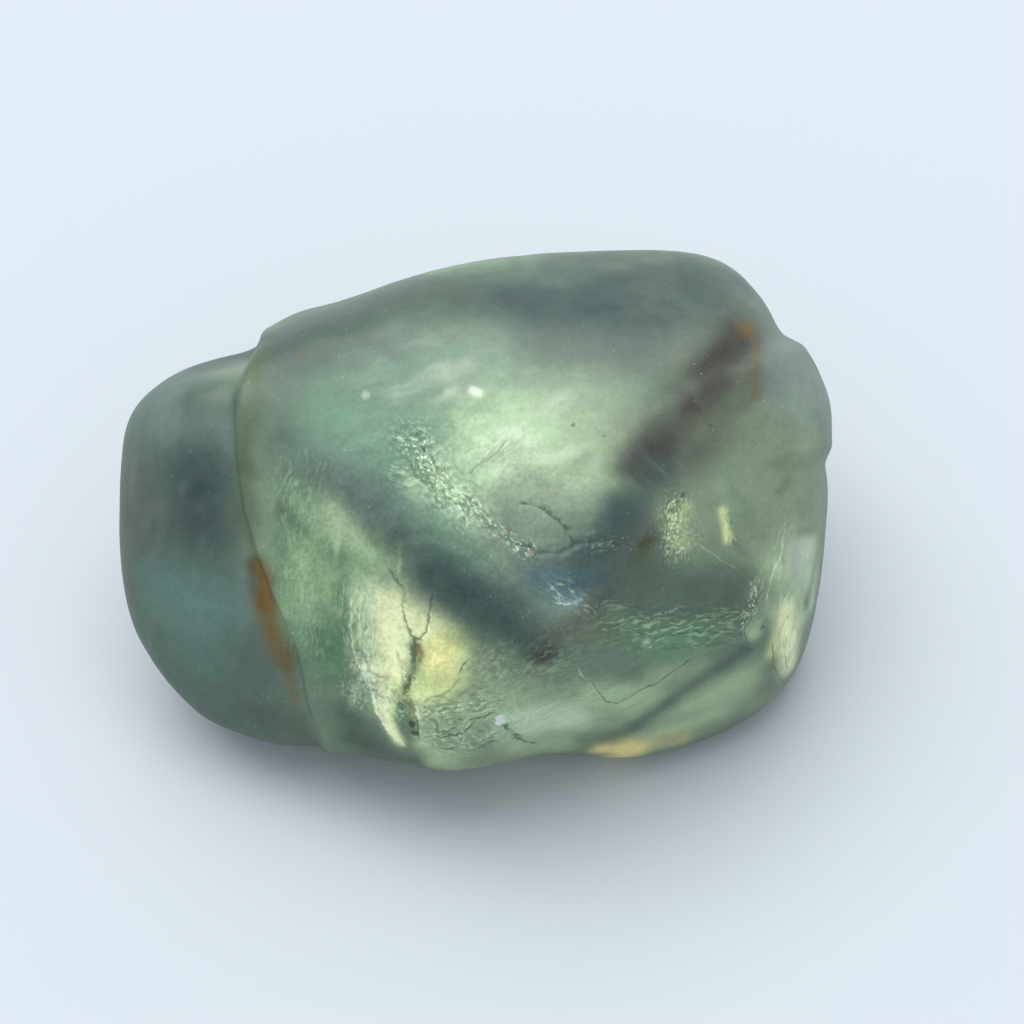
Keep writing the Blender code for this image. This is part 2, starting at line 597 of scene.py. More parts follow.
@dataclass(frozen=True)
class StoneForm:
    """The stone's large form: the worn crystal, its slipped end, its rim and its chips."""

    crystal: WornCrystal = WornCrystal()
    slipped_end: SlippedEnd = SlippedEnd()
    rim: WornRim = WornRim()
    dishes: tuple[Dish, ...] = (
        Dish(254, 38, 3.4, 0.42),
        Dish(338, 50, 3.0, 0.34),
        Dish(336, 78, 2.8, 0.32),
        Dish(84, 118, 4.6, 0.60),
        Dish(146, 106, 3.4, 0.45),
        Dish(30, 112, 3.8, 0.50),
        Dish(226, 100, 2.8, 0.34),
    )
    lift_mm: tuple[float, float] = (-8.0, 20.0)
    lift_halvings: int = 30

    def dish_relief(self, places_mm: Array) -> Array:
        """The chips' depths.

        Each is its depth times (1 - share squared) squared, where the share is the distance
        from its middle over its radius.

        Args:
            places_mm: places from the heart, in the scene's own axes.

        Returns:
            Heights in mm, at or below 0.
        """
        relief = np.zeros(len(places_mm))
        for dish in self.dishes:
            direction = SIGHT.outward(dish.turn_deg, dish.tilt_deg)
            middle = direction * self.crystal.distance(direction[None, :])
            share = np.linalg.norm(places_mm - middle, axis=1) / dish.radius_mm
            relief -= dish.depth_mm * np.clip(1.0 - share**2, 0.0, 1.0) ** 2
        return relief

    def distance(self, directions: Array) -> Array:
        """Distance from the heart to the surface along each direction.

        Args:
            directions: unit vectors, one row each.

        Returns:
            Distances in mm: the crystal's, plus each relief at the place it gives.
        """
        distance = self.crystal.distance(directions)
        places = directions * distance[:, None]
        sight = places @ SIGHT.axes().T
        distance += self.slipped_end.relief(sight) + self.rim.relief(sight)
        return distance + self.dish_relief(places)

    def lift(self, right_up: Array) -> Array:
        """Finds the surface in front of places given flat, as right and up.

        The way out to the surface is halved again and again: a trial place inside the
        form moves the near end out, and one outside moves the far end in.

        Args:
            right_up: right and up in mm, a row each.

        Returns:
            Right, up and out in mm, a row each.
        """
        near, far = (np.full(len(right_up), end) for end in self.lift_mm)
        for _ in range(self.lift_halvings):
            out = (near + far) / 2
            places = np.concatenate([right_up, out[:, None]], axis=1)
            length = np.linalg.norm(places, axis=1)
            inside = self.distance(places @ SIGHT.axes() / length[:, None]) > length
            near, far = np.where(inside, out, near), np.where(inside, far, out)
        return places


@dataclass(frozen=True)
class SphereGrid:
    """Unit vectors over a sphere, on six square grids that share their edges."""

    cells: int = 128
    crowding: float = 0.35

    def build(self) -> tuple[Array, Array]:
        """Makes the grid.

        Each side of a cube is a grid over two parameters. The tangent of each parameter
        spreads the directions evenly, and a push towards the viewer then crowds more of
        them on to the best side. Points on shared edges are merged by their whole
        coordinates, so the surface is closed.

        Returns:
            The unit vectors, and four indices a quad, facing out.
        """
        n = self.cells
        first, second = np.meshgrid(np.arange(n + 1), np.arange(n + 1), indexing="ij")
        low, high = np.zeros_like(first), np.full_like(first, n)
        sides = (
            (high, first, second),
            (low, second, first),
            (second, high, first),
            (first, low, second),
            (first, second, high),
            (second, first, low),
        )
        lattice = np.concatenate([np.stack(side, -1).reshape(-1, 3) for side in sides])
        index = np.arange(6 * (n + 1) ** 2).reshape(6, n + 1, n + 1)
        quads = np.stack(
            (index[:, :-1, :-1], index[:, 1:, :-1], index[:, 1:, 1:], index[:, :-1, 1:]), -1
        ).reshape(-1, 4)
        _, kept, merged = np.unique(lattice, axis=0, return_index=True, return_inverse=True)
        cube = lattice[kept] / n * 2.0 - 1.0
        spread = unit(np.tan(cube * math.pi / 4.0))
        spread[:, 2] += self.crowding
        return unit(spread) @ SIGHT.axes(), merged.reshape(-1)[quads]


@dataclass(frozen=True)
class Trace:
    """A path laid on the stone, for what follows it: marks, cracks and crumbled ground."""

    points: Path
    given: Given = Given.IN_SIGHT

    def laid(self, form: StoneForm) -> Array:
        """Lays the path on the form.

        Args:
            form: the form that it is laid on.

        Returns:
            Its points as right, up and out in mm, a row each.
        """
        points = np.array(self.points, float)
        if self.given is Given.IN_SIGHT:
            return form.lift(points)
        directions = np.array([SIGHT.outward(turn, tilt) for turn, tilt in points])
        return (directions * form.distance(directions)[:, None]) @ SIGHT.axes().T

    def away(self, form: StoneForm, sight: Array) -> Array:
        """Distance from each place to the path.

        Depth is shrunk by the share that the way of giving names, and the distance is the
        least over the path's stretches, each to its nearest point.

        Args:
            form: the form that the path is laid on.
            sight: places as right, up and out, in mm.

        Returns:
            Distances in mm.
        """
        scale = np.array((1.0, 1.0, self.given.value))
        path, places = self.laid(form) * scale, sight * scale
        if len(path) == 1:
            return np.linalg.norm(places - path[0], axis=1)
        least = np.full(len(places), np.inf)
        for start, end in zip(path[:-1], path[1:]):
            along = end - start
            share = np.clip((places - start) @ along / (along @ along), 0.0, 1.0)
            nearest = start + share[:, None] * along
            least = np.minimum(least, np.linalg.norm(places - nearest, axis=1))
        return least

    def side(self, form: StoneForm, sight: Array) -> Array:
        """The signed distance to the path, as it is seen flat.

        The nearest stretch gives the distance, and its cross product with the way to the
        place gives the sign.

        Args:
            form: the form that the path is laid on.
            sight: places as right, up and out, in mm.

        Returns:
            Distances in mm, above 0 on the path's left and below 0 on its right.
        """
        path = self.laid(form)[:, :2]
        least, signed = np.full(len(sight), np.inf), np.zeros(len(sight))
        for start, end in zip(path[:-1], path[1:]):
            along = end - start
            reach = sight[:, :2] - start
            share = np.clip(reach @ along / (along @ along), 0.0, 1.0)
            away = np.linalg.norm(reach - share[:, None] * along, axis=1)
            left = along[0] * reach[:, 1] - along[1] * reach[:, 0]
            nearer = away < least
            least = np.where(nearer, away, least)
            signed = np.where(nearer, np.copysign(away, left), signed)
        return signed


@dataclass(frozen=True)
class Ground:
    """The form's surface, for what is laid on it: marks, veils, cracks and crumbled ground."""

    form: StoneForm
    sight: Array  # right, up and out of each place, in mm
    push: Array  # noise that moves each place about

    def moved(self, by_mm: float) -> Array:
        """The places, moved about by so much of the noise."""
        return self.sight + by_mm * self.push


@dataclass(frozen=True)
class Mark:
    """A soft mark of one colour along a path."""

    tint: Tint
    strength: float
    reach_mm: float
    points: Path
    edge: float = 2.0  # 2 fades like a bell, and more keeps a flatter middle
    wander_mm: float = 0.3
    given: Given = Given.IN_SIGHT

    def share(self, ground: Ground) -> Array:
        """How much the mark covers: e to the power of minus away over reach, to its edge.

        Args:
            ground: the surface that it is laid on.

        Returns:
            Shares from 0 to the strength.
        """
        trace = Trace(self.points, self.given)
        away = trace.away(ground.form, ground.moved(self.wander_mm))
        return self.strength * np.exp(-((away / self.reach_mm) ** self.edge))


@dataclass(frozen=True)
class Veil:
    """Wisps of one colour, drawn out one way, over the ground about a path."""

    tint: Tint
    strength: float
    reach_mm: float
    points: Path
    lean_deg: float
    cell_mm: float = 0.35
    stretch: float = 6.0
    seed: int = 71
    octaves: int = 3
    kept: tuple[float, float] = (0.05, 0.65)
    depth_stretch: float = 3.0
    waver_mm: float = 0.35
    wander_mm: float = 0.3

    def share(self, ground: Ground) -> Array:
        """How much the wisps cover.

        Noise is squeezed along the lean, which draws it out into wisps, and its upper part
        is kept where the ground is near the path.

        Args:
            ground: the surface that it is laid on.

        Returns:
            Shares from 0 to the strength.
        """
        drawn = ground.moved(self.waver_mm)
        along, across = leaning(drawn, self.lean_deg, self.stretch)
        drawn = np.stack((along, across, drawn[:, 2] / self.depth_stretch), axis=1)
        wisps = ramp(*self.kept, Noise(self.cell_mm, self.octaves, self.seed).at(drawn))
        away = Trace(self.points).away(ground.form, ground.moved(self.wander_mm))
        return self.strength * wisps * hump(away, self.reach_mm)


@dataclass(frozen=True)
class Zone:
    """A growth zone: a dark sheet inside the crystal, parallel to one of its faces."""

    tint: Tint
    strength: float
    face: Face
    half_width_mm: float
    seen_mm: tuple[float, float] = (1.0, -3.0)
    wander_mm: float = 0.5

    def share(self, ground: Ground) -> Array:
        """How much the sheet shows: a bell of the distance to it, faded with depth.

        Args:
            ground: the surface that it is laid on.

        Returns:
            Shares from 0 to the strength.
        """
        normal = SIGHT.axes() @ self.face.normal()
        off = ground.moved(self.wander_mm) @ normal - self.face.distance_mm
        deep = ramp(*self.seen_mm, ground.sight[:, 2])
        return self.strength * hump(off, self.half_width_mm) * deep


@dataclass(frozen=True)
class SeepingStain:
    """Iron that has seeped along the split where the end has slipped."""

    tint: Tint
    strength: float
    past_mm: float
    half_width_mm: float
    seen_mm: tuple[float, float]
    wander_mm: float = 0.5
    patches: Noise = Noise(2.2, 3, 97)
    kept: tuple[float, float] = (-0.25, 0.35)

    def share(self, ground: Ground) -> Array:
        """How much the stain covers: a bell of the distance to the split, in patches.

        Args:
            ground: the surface that it is laid on.

        Returns:
            Shares from 0 to the strength.
        """
        past = ground.form.slipped_end.past(ground.moved(self.wander_mm)) - self.past_mm
        patches = ramp(*self.kept, self.patches.at(ground.sight))
        deep = ramp(*self.seen_mm, ground.sight[:, 2])
        return self.strength * patches * deep * hump(past, self.half_width_mm)


@dataclass(frozen=True)
class Markings:
    """The crystal's growth zones and staining, with painted glow, glints and rim shade, as colour over
    its surface.
    """

    body: tuple[Tint, Tint, Tint] = (Tint.FOG, Tint.SAGE, Tint.LEAF)
    body_noise: Noise = Noise(4.5, 3, 53)
    body_span: float = 0.7
    push_noises: tuple[Noise, ...] = (Noise(1.6, 5, 31), Noise(1.6, 5, 37), Noise(1.6, 5, 41))
    patch_noise: Noise = Noise(0.8, 4, 57)
    patchiness: float = 0.3
    zones: tuple[Zone, ...] = (
        Zone(Tint.INK, 0.55, Face(96, 125, 9.0), 0.45),
        Zone(Tint.INK, 0.45, Face(166, 130, 11.2), 0.5),
        Zone(Tint.STEEL, 0.6, Face(18, 126, 12.9), 0.5),
    )
    grounds: tuple[Mark, ...] = (
        Mark(Tint.FOG, 0.9, 1.6, ((-7.7, 6.6), (-4.3, 8.0), (-1.1, 8.6)), 3.0),
        Mark(Tint.FOG, 0.75, 1.4, ((-7.0, 5.6), (-5.0, 6.3)), 3.0),
        Mark(Tint.DUSK, 0.55, 1.0, ((-7.0, 6.3), (-5.2, 6.6), (-3.2, 7.1))),
        Mark(Tint.FOG, 0.5, 1.4, ((-7.4, 6.6), (-5.1, 7.3), (-1.9, 7.8), (1.0, 8.0)), 2.5),
        # Painted shade along the top rim.
        Mark(Tint.DUSK, 0.45, 0.7, ((3.1, 10.3), (6.0, 10.5), (8.5, 10.3), (11.0, 9.4)), 3.0),
        Mark(Tint.DUSK, 0.7, 1.0, ((5.1, 9.3), (8.4, 9.6))),
        Mark(Tint.CELERY, 0.5, 0.4, ((-1.9, 10.0), (1.0, 10.3))),
        Mark(Tint.DUSK, 0.82, 1.7, ((1.8, 8.2), (3.4, 8.0), (6.6, 7.9), (9.5, 8.4)), 2.5),
        Mark(Tint.DUSK, 0.6, 1.1, ((2.1, 6.4), (4.6, 6.3), (7.0, 6.7))),
        Mark(Tint.FOG, 0.6, 1.4, ((10.0, 8.5), (10.9, 7.7))),
        Mark(Tint.FOG, 0.7, 1.0, ((-7.4, 4.3), (-7.5, 3.1))),
        Mark(Tint.SAGE, 0.7, 1.0, ((-3.0, 6.8), (1.0, 6.8))),
        Mark(Tint.MIST, 0.8, 1.0, ((-3.2, 5.5), (1.0, 5.7))),
        Mark(Tint.ASH, 0.95, 3.4, ((-12.8, 3.2), (-12.9, -3.8), (-10.1, -7.6)), 6.0),
        Mark(Tint.LEAF, 0.95, 2.6, ((9.1, 0.4), (11.4, 2.7), (13.3, 0.4), (12.4, -1.5)), 3.0),
        Mark(Tint.ASH_LIGHT, 0.95, 1.4, ((12.5, 5.5), (13.9, 4.3)), 3.0),
        Mark(Tint.CELERY, 0.9, 1.8, ((-7.0, -0.4), (-7.1, -3.5), (-5.6, -3.3)), 3.0),
        Mark(Tint.SAGE, 0.8, 1.4, ((-6.4, -7.4), (-4.6, -8.9)), 3.0),
        Mark(Tint.LEAF, 0.85, 1.8, ((-0.4, -7.1), (2.5, -7.2)), 3.0),
        Mark(Tint.LEAF, 0.8, 1.0, ((-1.5, -9.8), (2.7, -9.8))),
        Mark(Tint.SAGE, 0.8, 1.0, ((3.9, -5.6), (11.1, -5.8)), 3.0),
        Mark(Tint.LEAF, 0.8, 1.3, ((8.1, -8.4), (11.3, -7.6)), 3.0),
        Mark(Tint.PALE, 0.6, 1.0, ((5.5, -8.4), (7.6, -8.1), (11.2, -7.3)), 3.0),
    )
    # Painted light: lighter marks that paint the glow of light passing through the stone, with some of
    # the crystal's own tones among them.
    painted_glows: tuple[Mark, ...] = (
        Mark(Tint.SEAFOAM, 0.8, 2.4, ((-5.0, 4.0), (-3.0, 3.5), (-1.4, 1.5)), 3.0),
        Mark(Tint.MIST, 0.8, 1.7, ((-3.0, 4.7), (0.6, 4.7), (3.3, 4.4))),
        Mark(Tint.PALE, 0.78, 2.5, ((0.2, 3.1), (3.7, 3.1), (4.5, 2.1)), 2.5),
        Mark(Tint.LEAF, 0.6, 1.6, ((3.9, 1.1), (5.3, 3.5))),
        Mark(Tint.PAINTED_GLOW, 0.85, 1.2, ((0.3, 3.5), (2.0, 2.9))),
        Mark(Tint.PAINTED_GLOW, 0.7, 0.9, ((0.2, 1.9), (0.9, 1.5))),
        Mark(Tint.PAINTED_GLOW, 0.4, 1.0, ((3.7, 2.3), (4.3, 1.7))),
        Mark(Tint.JADE, 0.8, 1.2, ((-5.4, 2.9), (-3.6, 1.8), (-2.0, 0.7))),
        Mark(Tint.JADE, 0.7, 0.8, ((-3.4, 2.5), (-2.0, 1.2))),
        Mark(Tint.SEAFOAM, 0.7, 1.0, ((-3.6, 2.7), (-1.8, 3.3))),
        Mark(Tint.PALE, 0.8, 0.8, ((-2.2, 1.2), (-0.8, 0.4), (-0.2, -0.2))),
        Mark(Tint.SEAFOAM, 0.7, 1.0, ((-1.2, -0.8), (-0.2, -1.6))),
        Mark(Tint.LEAF, 0.7, 0.9, ((1.7, 0.8), (2.5, 0.4))),
        Mark(Tint.SAGE, 0.8, 1.2, ((0.9, -1.2), (3.7, -0.8))),
        Mark(Tint.PALE, 0.6, 0.6, ((-6.1, 0.2), (-5.2, -1.2)), 2.5, 0.2),
        Mark(Tint.CELERY, 0.8, 1.0, ((-4.2, -2.0), (-5.0, -2.8))),
        Mark(Tint.PALE, 0.8, 1.0, ((13.6, -1.9), (12.5, -3.3))),
        Mark(Tint.ASH_LIGHT, 0.7, 0.4, ((13.1, -1.9), (13.4, -3.3)), 2.0, 0.1),
        Mark(Tint.PALE, 0.6, 0.4, ((14.0, -1.6), (14.1, -3.0)), 2.0, 0.3),
        Mark(Tint.PAINTED_GLOW, 0.6, 0.7, ((13.5, -3.8), (12.7, -3.8))),
        Mark(Tint.PRIMROSE, 1.0, 0.6, ((12.9, -4.3), (13.1, -5.5), (13.2, -6.6)), 3.0, 0.15),
        Mark(Tint.LEMON, 0.6, 0.3, ((12.5, -5.4), (12.3, -6.1))),
        Mark(Tint.PAINTED_GLOW, 0.85, 0.4, ((14.0, -1.6), (14.2, -4.1))),
        Mark(Tint.CHALK, 0.22, 0.4, ((13.7, -1.6), (13.7, -3.4))),
        Mark(Tint.MILK, 0.3, 0.8, ((13.1, -1.6), (13.2, -2.7))),
        Mark(Tint.PAINTED_GLOW, 0.75, 0.4, ((13.6, -2.7), (13.7, -4.7))),
        Mark(Tint.PAINTED_GLOW, 0.9, 0.4, ((11.3, -3.4), (11.4, -5.0)), 2.5, 0.15),
        Mark(Tint.MILK, 0.5, 0.3, ((11.5, -3.3), (11.8, -4.0))),
        Mark(Tint.MILK, 0.8, 0.2, ((11.4, -3.1), (11.2, -3.6)), 2.0, 0.05),
        Mark(Tint.MILK, 0.35, 0.2, ((-0.2, 4.7), (0.1, 4.6)), 2.0, 0.08),
        Mark(Tint.PALE, 0.6, 0.5, ((-1.6, 1.5), (-0.8, 0.5)), 2.0, 0.1),
        Mark(Tint.PALE, 0.7, 0.6, ((12.2, -2.1), (11.8, -3.7))),
        Mark(Tint.PALE, 0.95, 1.1, ((1.4, -8.5), (3.6, -8.4)), 2.5),
        Mark(Tint.PAINTED_GLOW, 1.0, 0.8, ((1.6, -8.6), (4.2, -8.5))),
        Mark(Tint.MIST, 0.45, 0.9, ((4.0, -7.0), (5.0, -7.0))),
        Mark(Tint.PALE, 0.95, 0.7, ((4.6, -7.5), (7.4, -7.8)), 2.5),
        Mark(Tint.PALE, 0.5, 0.5, ((9.8, -8.0), (11.1, -7.5))),
        Mark(Tint.PALE, 0.95, 0.6, ((7.1, -9.7), (9.4, -9.0), (11.5, -8.0))),
        Mark(Tint.PALE, 0.8, 0.6, ((1.8, -9.6), (3.7, -9.8))),
        Mark(Tint.LEMON, 0.45, 0.3, ((-1.9, -10.4), (1.0, -10.8), (4.5, -10.6))),
        Mark(Tint.AMBER, 1.0, 0.7, ((4.7, -10.5), (6.6, -10.3)), 3.0),
        Mark(Tint.AMBER, 0.35, 0.5, ((7.4, -10.0), (8.7, -9.7))),
        Mark(Tint.PALE, 0.5, 0.5, ((1.8, -10.1), (3.5, -10.2))),
        Mark(Tint.PRIMROSE, 0.95, 0.9, ((-4.0, -3.9), (-3.5, -5.5)), 2.5),
        Mark(Tint.PRIMROSE, 0.9, 0.9, ((-3.2, -4.1), (-2.1, -4.8)), 2.5),
        Mark(Tint.LEMON, 0.9, 1.0, ((-3.1, -6.6), (-1.4, -5.8)), 2.5),
        Mark(Tint.CELERY, 0.7, 0.5, ((-2.6, -5.7), (-2.3, -7.3))),
        Mark(Tint.PRIMROSE, 0.8, 0.5, ((-4.1, -6.4), (-3.7, -7.4))),
        Mark(Tint.PRIMROSE, 1.0, 0.4, ((-3.6, -7.0), (-3.7, -7.8)), 2.5, 0.1),
        Mark(Tint.PRIMROSE, 0.98, 0.2, ((-3.7, -8.0), (-3.5, -8.8), (-3.0, -9.5)), 3.0, 0.08),
        Mark(Tint.LEMON, 0.8, 0.8, ((-3.1, -7.7), (-1.1, -7.5))),
        Mark(Tint.PALE, 0.6, 0.8, ((-1.5, -8.8), (-0.7, -8.3))),
        Mark(Tint.OLIVE, 0.5, 0.4, ((-0.9, -8.6),)),
        Mark(Tint.PALE, 0.6, 0.5, ((-1.9, -10.1), (-0.9, -9.9))),
        Mark(Tint.LEMON, 0.3, 0.4, ((8.2, 0.0), (7.8, -0.8), (8.1, -1.3))),
        Mark(Tint.LEMON, 0.75, 0.2, ((9.9, -0.1), (10.1, -1.2)), 2.5, 0.05),
        Mark(Tint.AQUA, 0.7, 1.4, ((-12.2, -3.6), (-10.7, -4.0))),
        Mark(Tint.ASH_LIGHT, 0.35, 0.8, ((-12.5, 3.4), (-10.1, 3.2))),
        Mark(Tint.PALE, 0.3, 0.7, ((13.2, 4.4), (13.5, 2.8))),
        Mark(Tint.LEAF, 0.5, 0.6, ((-9.1, 2.2), (-8.8, 0.4))),
    )
    # Finer marks, dark and light. The pale, primrose, milk and glow ones in the bowl and the strip paint
    # the glow of light passing through the stone.
    darks: tuple[Mark, ...] = (
        Mark(Tint.STEEL, 0.55, 1.2, ((-7.0, 1.8), (-5.2, 1.2), (-3.6, 0.0))),
        Mark(Tint.FOG, 0.45, 0.9, ((-7.0, 6.3), (-5.2, 6.5), (-3.5, 6.6))),
        Mark(Tint.FOG, 0.45, 1.0, ((2.9, 6.3), (4.9, 5.9), (7.4, 6.1))),
        Mark(Tint.TEAL, 0.7, 0.4, ((-2.9, 2.5), (-2.4, 1.9), (-1.9, 1.0)), 2.0, 0.1),
        Mark(Tint.INK, 0.45, 0.2, ((1.7, -1.5), (3.0, -1.9), (4.2, -1.5), (5.3, -1.4)), 2.0, 0.08),
        Mark(Tint.UMBER, 0.5, 0.5, ((7.0, 1.8), (6.5, 0.7)), 2.0, 0.4),
        Mark(Tint.STEEL, 0.4, 0.4, ((-8.0, -0.2), (-7.9, -2.7)), 2.0, 0.2),
        Mark(Tint.STEEL, 0.5, 1.0, ((-6.3, 1.6), (-4.1, 0.3))),
        Mark(Tint.STEEL, 0.3, 0.9, ((-4.1, 0.3), (-2.6, -0.8))),
        Mark(Tint.INK, 0.6, 1.0, ((-2.9, -1.2), (-1.0, -2.8), (0.9, -4.2))),
        Mark(Tint.INK, 0.8, 1.1, ((-1.4, -2.6), (0.7, -4.1), (2.1, -5.1)), 2.5),
        Mark(Tint.INK, 0.9, 1.0, ((3.9, -2.0), (5.1, -1.5), (5.8, -0.2)), 3.0),
        Mark(Tint.INK, 0.4, 0.7, ((2.1, -2.0), (3.3, -2.4))),
        Mark(Tint.TIDE, 0.95, 0.7, ((2.5, -2.9), (4.8, -2.9))),
        # Painted glint: small blue-white highlights.
        Mark(Tint.PAINTED_GLINT, 0.15, 0.4, ((2.8, -2.8), (3.0, -3.2)), 1.5, 0.15),
        Mark(Tint.PAINTED_GLINT, 0.06, 0.5, ((2.7, -4.1), (3.8, -3.8)), 2.0, 0.15),
        Mark(Tint.PAINTED_GLINT, 0.7, 0.2, ((3.5, -3.7), (4.0, -3.6)), 1.5, 0.05),
        Mark(Tint.LEAF, 0.3, 0.5, ((3.3, -1.5),)),
        Mark(Tint.UMBER, 0.75, 1.1, ((10.8, 6.6), (8.9, 4.7), (7.1, 2.7)), 2.0, 0.8),
        Mark(Tint.ROSE, 0.6, 0.9, ((11.0, 5.0), (9.4, 3.1), (7.5, 1.2)), 2.0, 0.5),
        Mark(Tint.UMBER, 0.8, 0.6, ((10.6, 6.9), (9.6, 5.9), (8.5, 4.4)), 2.0, 0.5),
        Mark(Tint.UMBER, 0.9, 0.8, ((7.3, 2.7), (6.3, 1.7)), 2.0, 0.5),
        Mark(Tint.INK, 0.7, 1.0, ((7.1, 1.3), (6.5, 0.1), (5.3, -1.4))),
        Mark(Tint.ROSE, 0.65, 0.6, ((6.9, -1.0), (5.7, -2.8), (4.3, -4.1), (2.9, -5.2)), 2.0, 0.4),
        Mark(Tint.ROSE, 0.5, 0.6, ((4.5, -4.8), (6.5, -4.0)), 2.0, 0.4),
        Mark(Tint.UMBER, 0.9, 0.4, ((2.9, -5.6), (2.5, -5.8)), 2.0, 0.2),
        Mark(Tint.DUSK, 0.5, 0.8, ((6.1, -2.0), (4.9, -3.6))),
        Mark(Tint.FOG, 0.85, 1.4, ((6.7, -3.0), (8.6, -3.6), (10.7, -3.6)), 3.5),
        Mark(Tint.TEAL, 0.6, 0.5, ((5.5, -4.5), (7.4, -4.9), (9.9, -5.0))),
        Mark(Tint.JADE, 0.6, 0.6, ((7.0, -5.5), (8.7, -5.5))),
        Mark(Tint.STEEL, 0.25, 0.6, ((8.3, -6.8), (10.9, -6.2))),
        Mark(Tint.DUSK, 0.65, 0.4, ((6.6, -9.0), (8.9, -7.3), (11.0, -5.9)), 2.0, 0.1),
        Mark(Tint.PALE, 0.9, 0.4, ((8.9, -8.1), (11.1, -7.3)), 2.0, 0.15),
        Mark(Tint.PALE, 0.6, 0.5, ((7.3, -6.8), (9.1, -6.5))),
        Mark(Tint.DUSK, 0.2, 0.6, ((6.5, -9.1), (9.2, -7.0)), 2.0, 0.2),
        Mark(Tint.ROSE, 0.25, 0.4, ((8.0, -9.7), (10.2, -9.1)), 2.0, 0.1),
        Mark(Tint.AMBER, 0.9, 0.4, ((5.2, -10.2), (6.4, -10.1))),
        Mark(Tint.MILK, 0.4, 0.6, ((1.9, -8.6), (4.2, -8.5))),
        Mark(Tint.PALE, 0.35, 0.6, ((-7.0, -2.0), (-6.9, -4.3))),
        Mark(Tint.AQUA, 0.3, 1.2, ((-12.9, -3.0), (-11.3, -6.3))),
        Mark(Tint.TEAL, 0.8, 1.0, ((-6.1, -5.3), (-5.9, -6.2))),
        Mark(Tint.TEAL, 0.6, 0.4, ((-5.3, -3.2), (-5.2, -4.9))),
        Mark(Tint.FOG, 0.5, 0.4, ((-1.5, -7.9), (-0.1, -7.4))),
        Mark(Tint.FOG, 0.85, 0.4, ((-2.9, -8.0), (-2.9, -8.5), (-2.8, -9.3)), 3.5, 0.08),
        Mark(Tint.UMBER, 0.7, 0.2, ((-2.7, -8.6), (-2.5, -9.1)), 2.0, 0.03),
        Mark(Tint.FOG, 0.6, 0.2, ((-2.5, -5.5), (-2.5, -6.4), (-2.9, -7.4)), 2.0, 0.05),
        Mark(Tint.JADE, 0.8, 0.3, ((-4.5, -7.0), (-4.3, -7.7)), 2.0, 0.1),
        Mark(Tint.FOG, 0.6, 0.6, ((-5.4, -8.3), (-4.7, -9.2), (-3.9, -10.0)), 2.0, 0.2),
        Mark(Tint.PALE, 0.6, 0.2, ((-4.9, -7.3), (-5.0, -7.9)), 2.0, 0.1),
        Mark(Tint.MIST, 0.5, 0.6, ((0.2, -9.0), (-1.0, -9.2))),
        Mark(Tint.PALE, 0.8, 0.2, ((-2.3, -9.2), (-1.8, -9.8), (-1.3, -10.3)), 2.0, 0.1),
        Mark(Tint.PALE, 0.5, 0.5, ((-5.9, -0.1), (-4.5, -1.6), (-2.8, -3.3)), 2.0, 0.15),
        Mark(Tint.PAINTED_GLOW, 0.8, 0.5, ((-4.5, -3.3), (-4.5, -4.9), (-4.3, -5.8)), 2.0, 0.15),
        Mark(Tint.FOG, 0.55, 0.4, ((-7.8, 0.2), (-7.0, -0.8))),
        Mark(Tint.JADE, 0.6, 0.2, ((-3.3, -7.4), (-3.1, -8.1), (-2.9, -8.9)), 2.0, 0.06),
        Mark(Tint.AMBER, 0.45, 0.6, ((-1.7, -5.6), (-1.5, -6.3))),
        Mark(Tint.PRIMROSE, 0.9, 0.4, ((-3.2, -3.6), (-3.1, -5.3), (-3.2, -6.7)), 2.0, 0.1),
        Mark(Tint.MILK, 0.55, 0.3, ((-4.6, -6.3), (-4.1, -7.2), (-3.7, -7.8)), 2.0, 0.12),
        Mark(Tint.PRIMROSE, 0.9, 0.2, ((-3.9, -7.9), (-3.6, -8.7), (-3.2, -9.4)), 2.0, 0.05),
        Mark(Tint.PALE, 0.9, 0.4, ((-2.2, -9.5), (-1.8, -10.2), (-1.1, -10.3))),
        Mark(Tint.PALE, 0.45, 1.1, ((-1.4, -8.6), (0.2, -8.4))),
        Mark(Tint.TEAL, 0.6, 0.4, ((-5.5, -2.0),), 2.0, 0.05),
        # From here to the end, painted shade: these darken the left lobe and the rims.
        Mark(Tint.DUSK, 0.8, 1.4, ((-11.2, 1.2), (-11.0, -0.4))),
        Mark(Tint.UMBER, 0.25, 1.2, ((-12.7, -0.5),)),
        Mark(Tint.ROSE, 0.5, 0.7, ((-13.6, 1.6), (-13.9, -1.3))),
        Mark(Tint.FOG, 0.95, 0.7, ((-13.5, 5.1), (-11.3, 5.9), (-9.5, 6.5))),
        Mark(Tint.FOG, 0.45, 0.8, ((-11.5, 4.3), (-9.3, 4.4))),
        Mark(Tint.INK, 0.95, 0.5, ((-13.6, 5.0), (-11.5, 6.3), (-9.7, 6.8))),
        Mark(Tint.FOG, 0.7, 0.7, ((-9.6, -8.2), (-7.3, -9.2))),
        Mark(Tint.FOG, 0.85, 0.5, ((-5.2, -9.5), (-3.8, -10.2), (-2.5, -10.4))),
        Mark(Tint.FOG, 0.5, 0.6, ((12.6, -6.9), (11.2, -8.4))),
    )
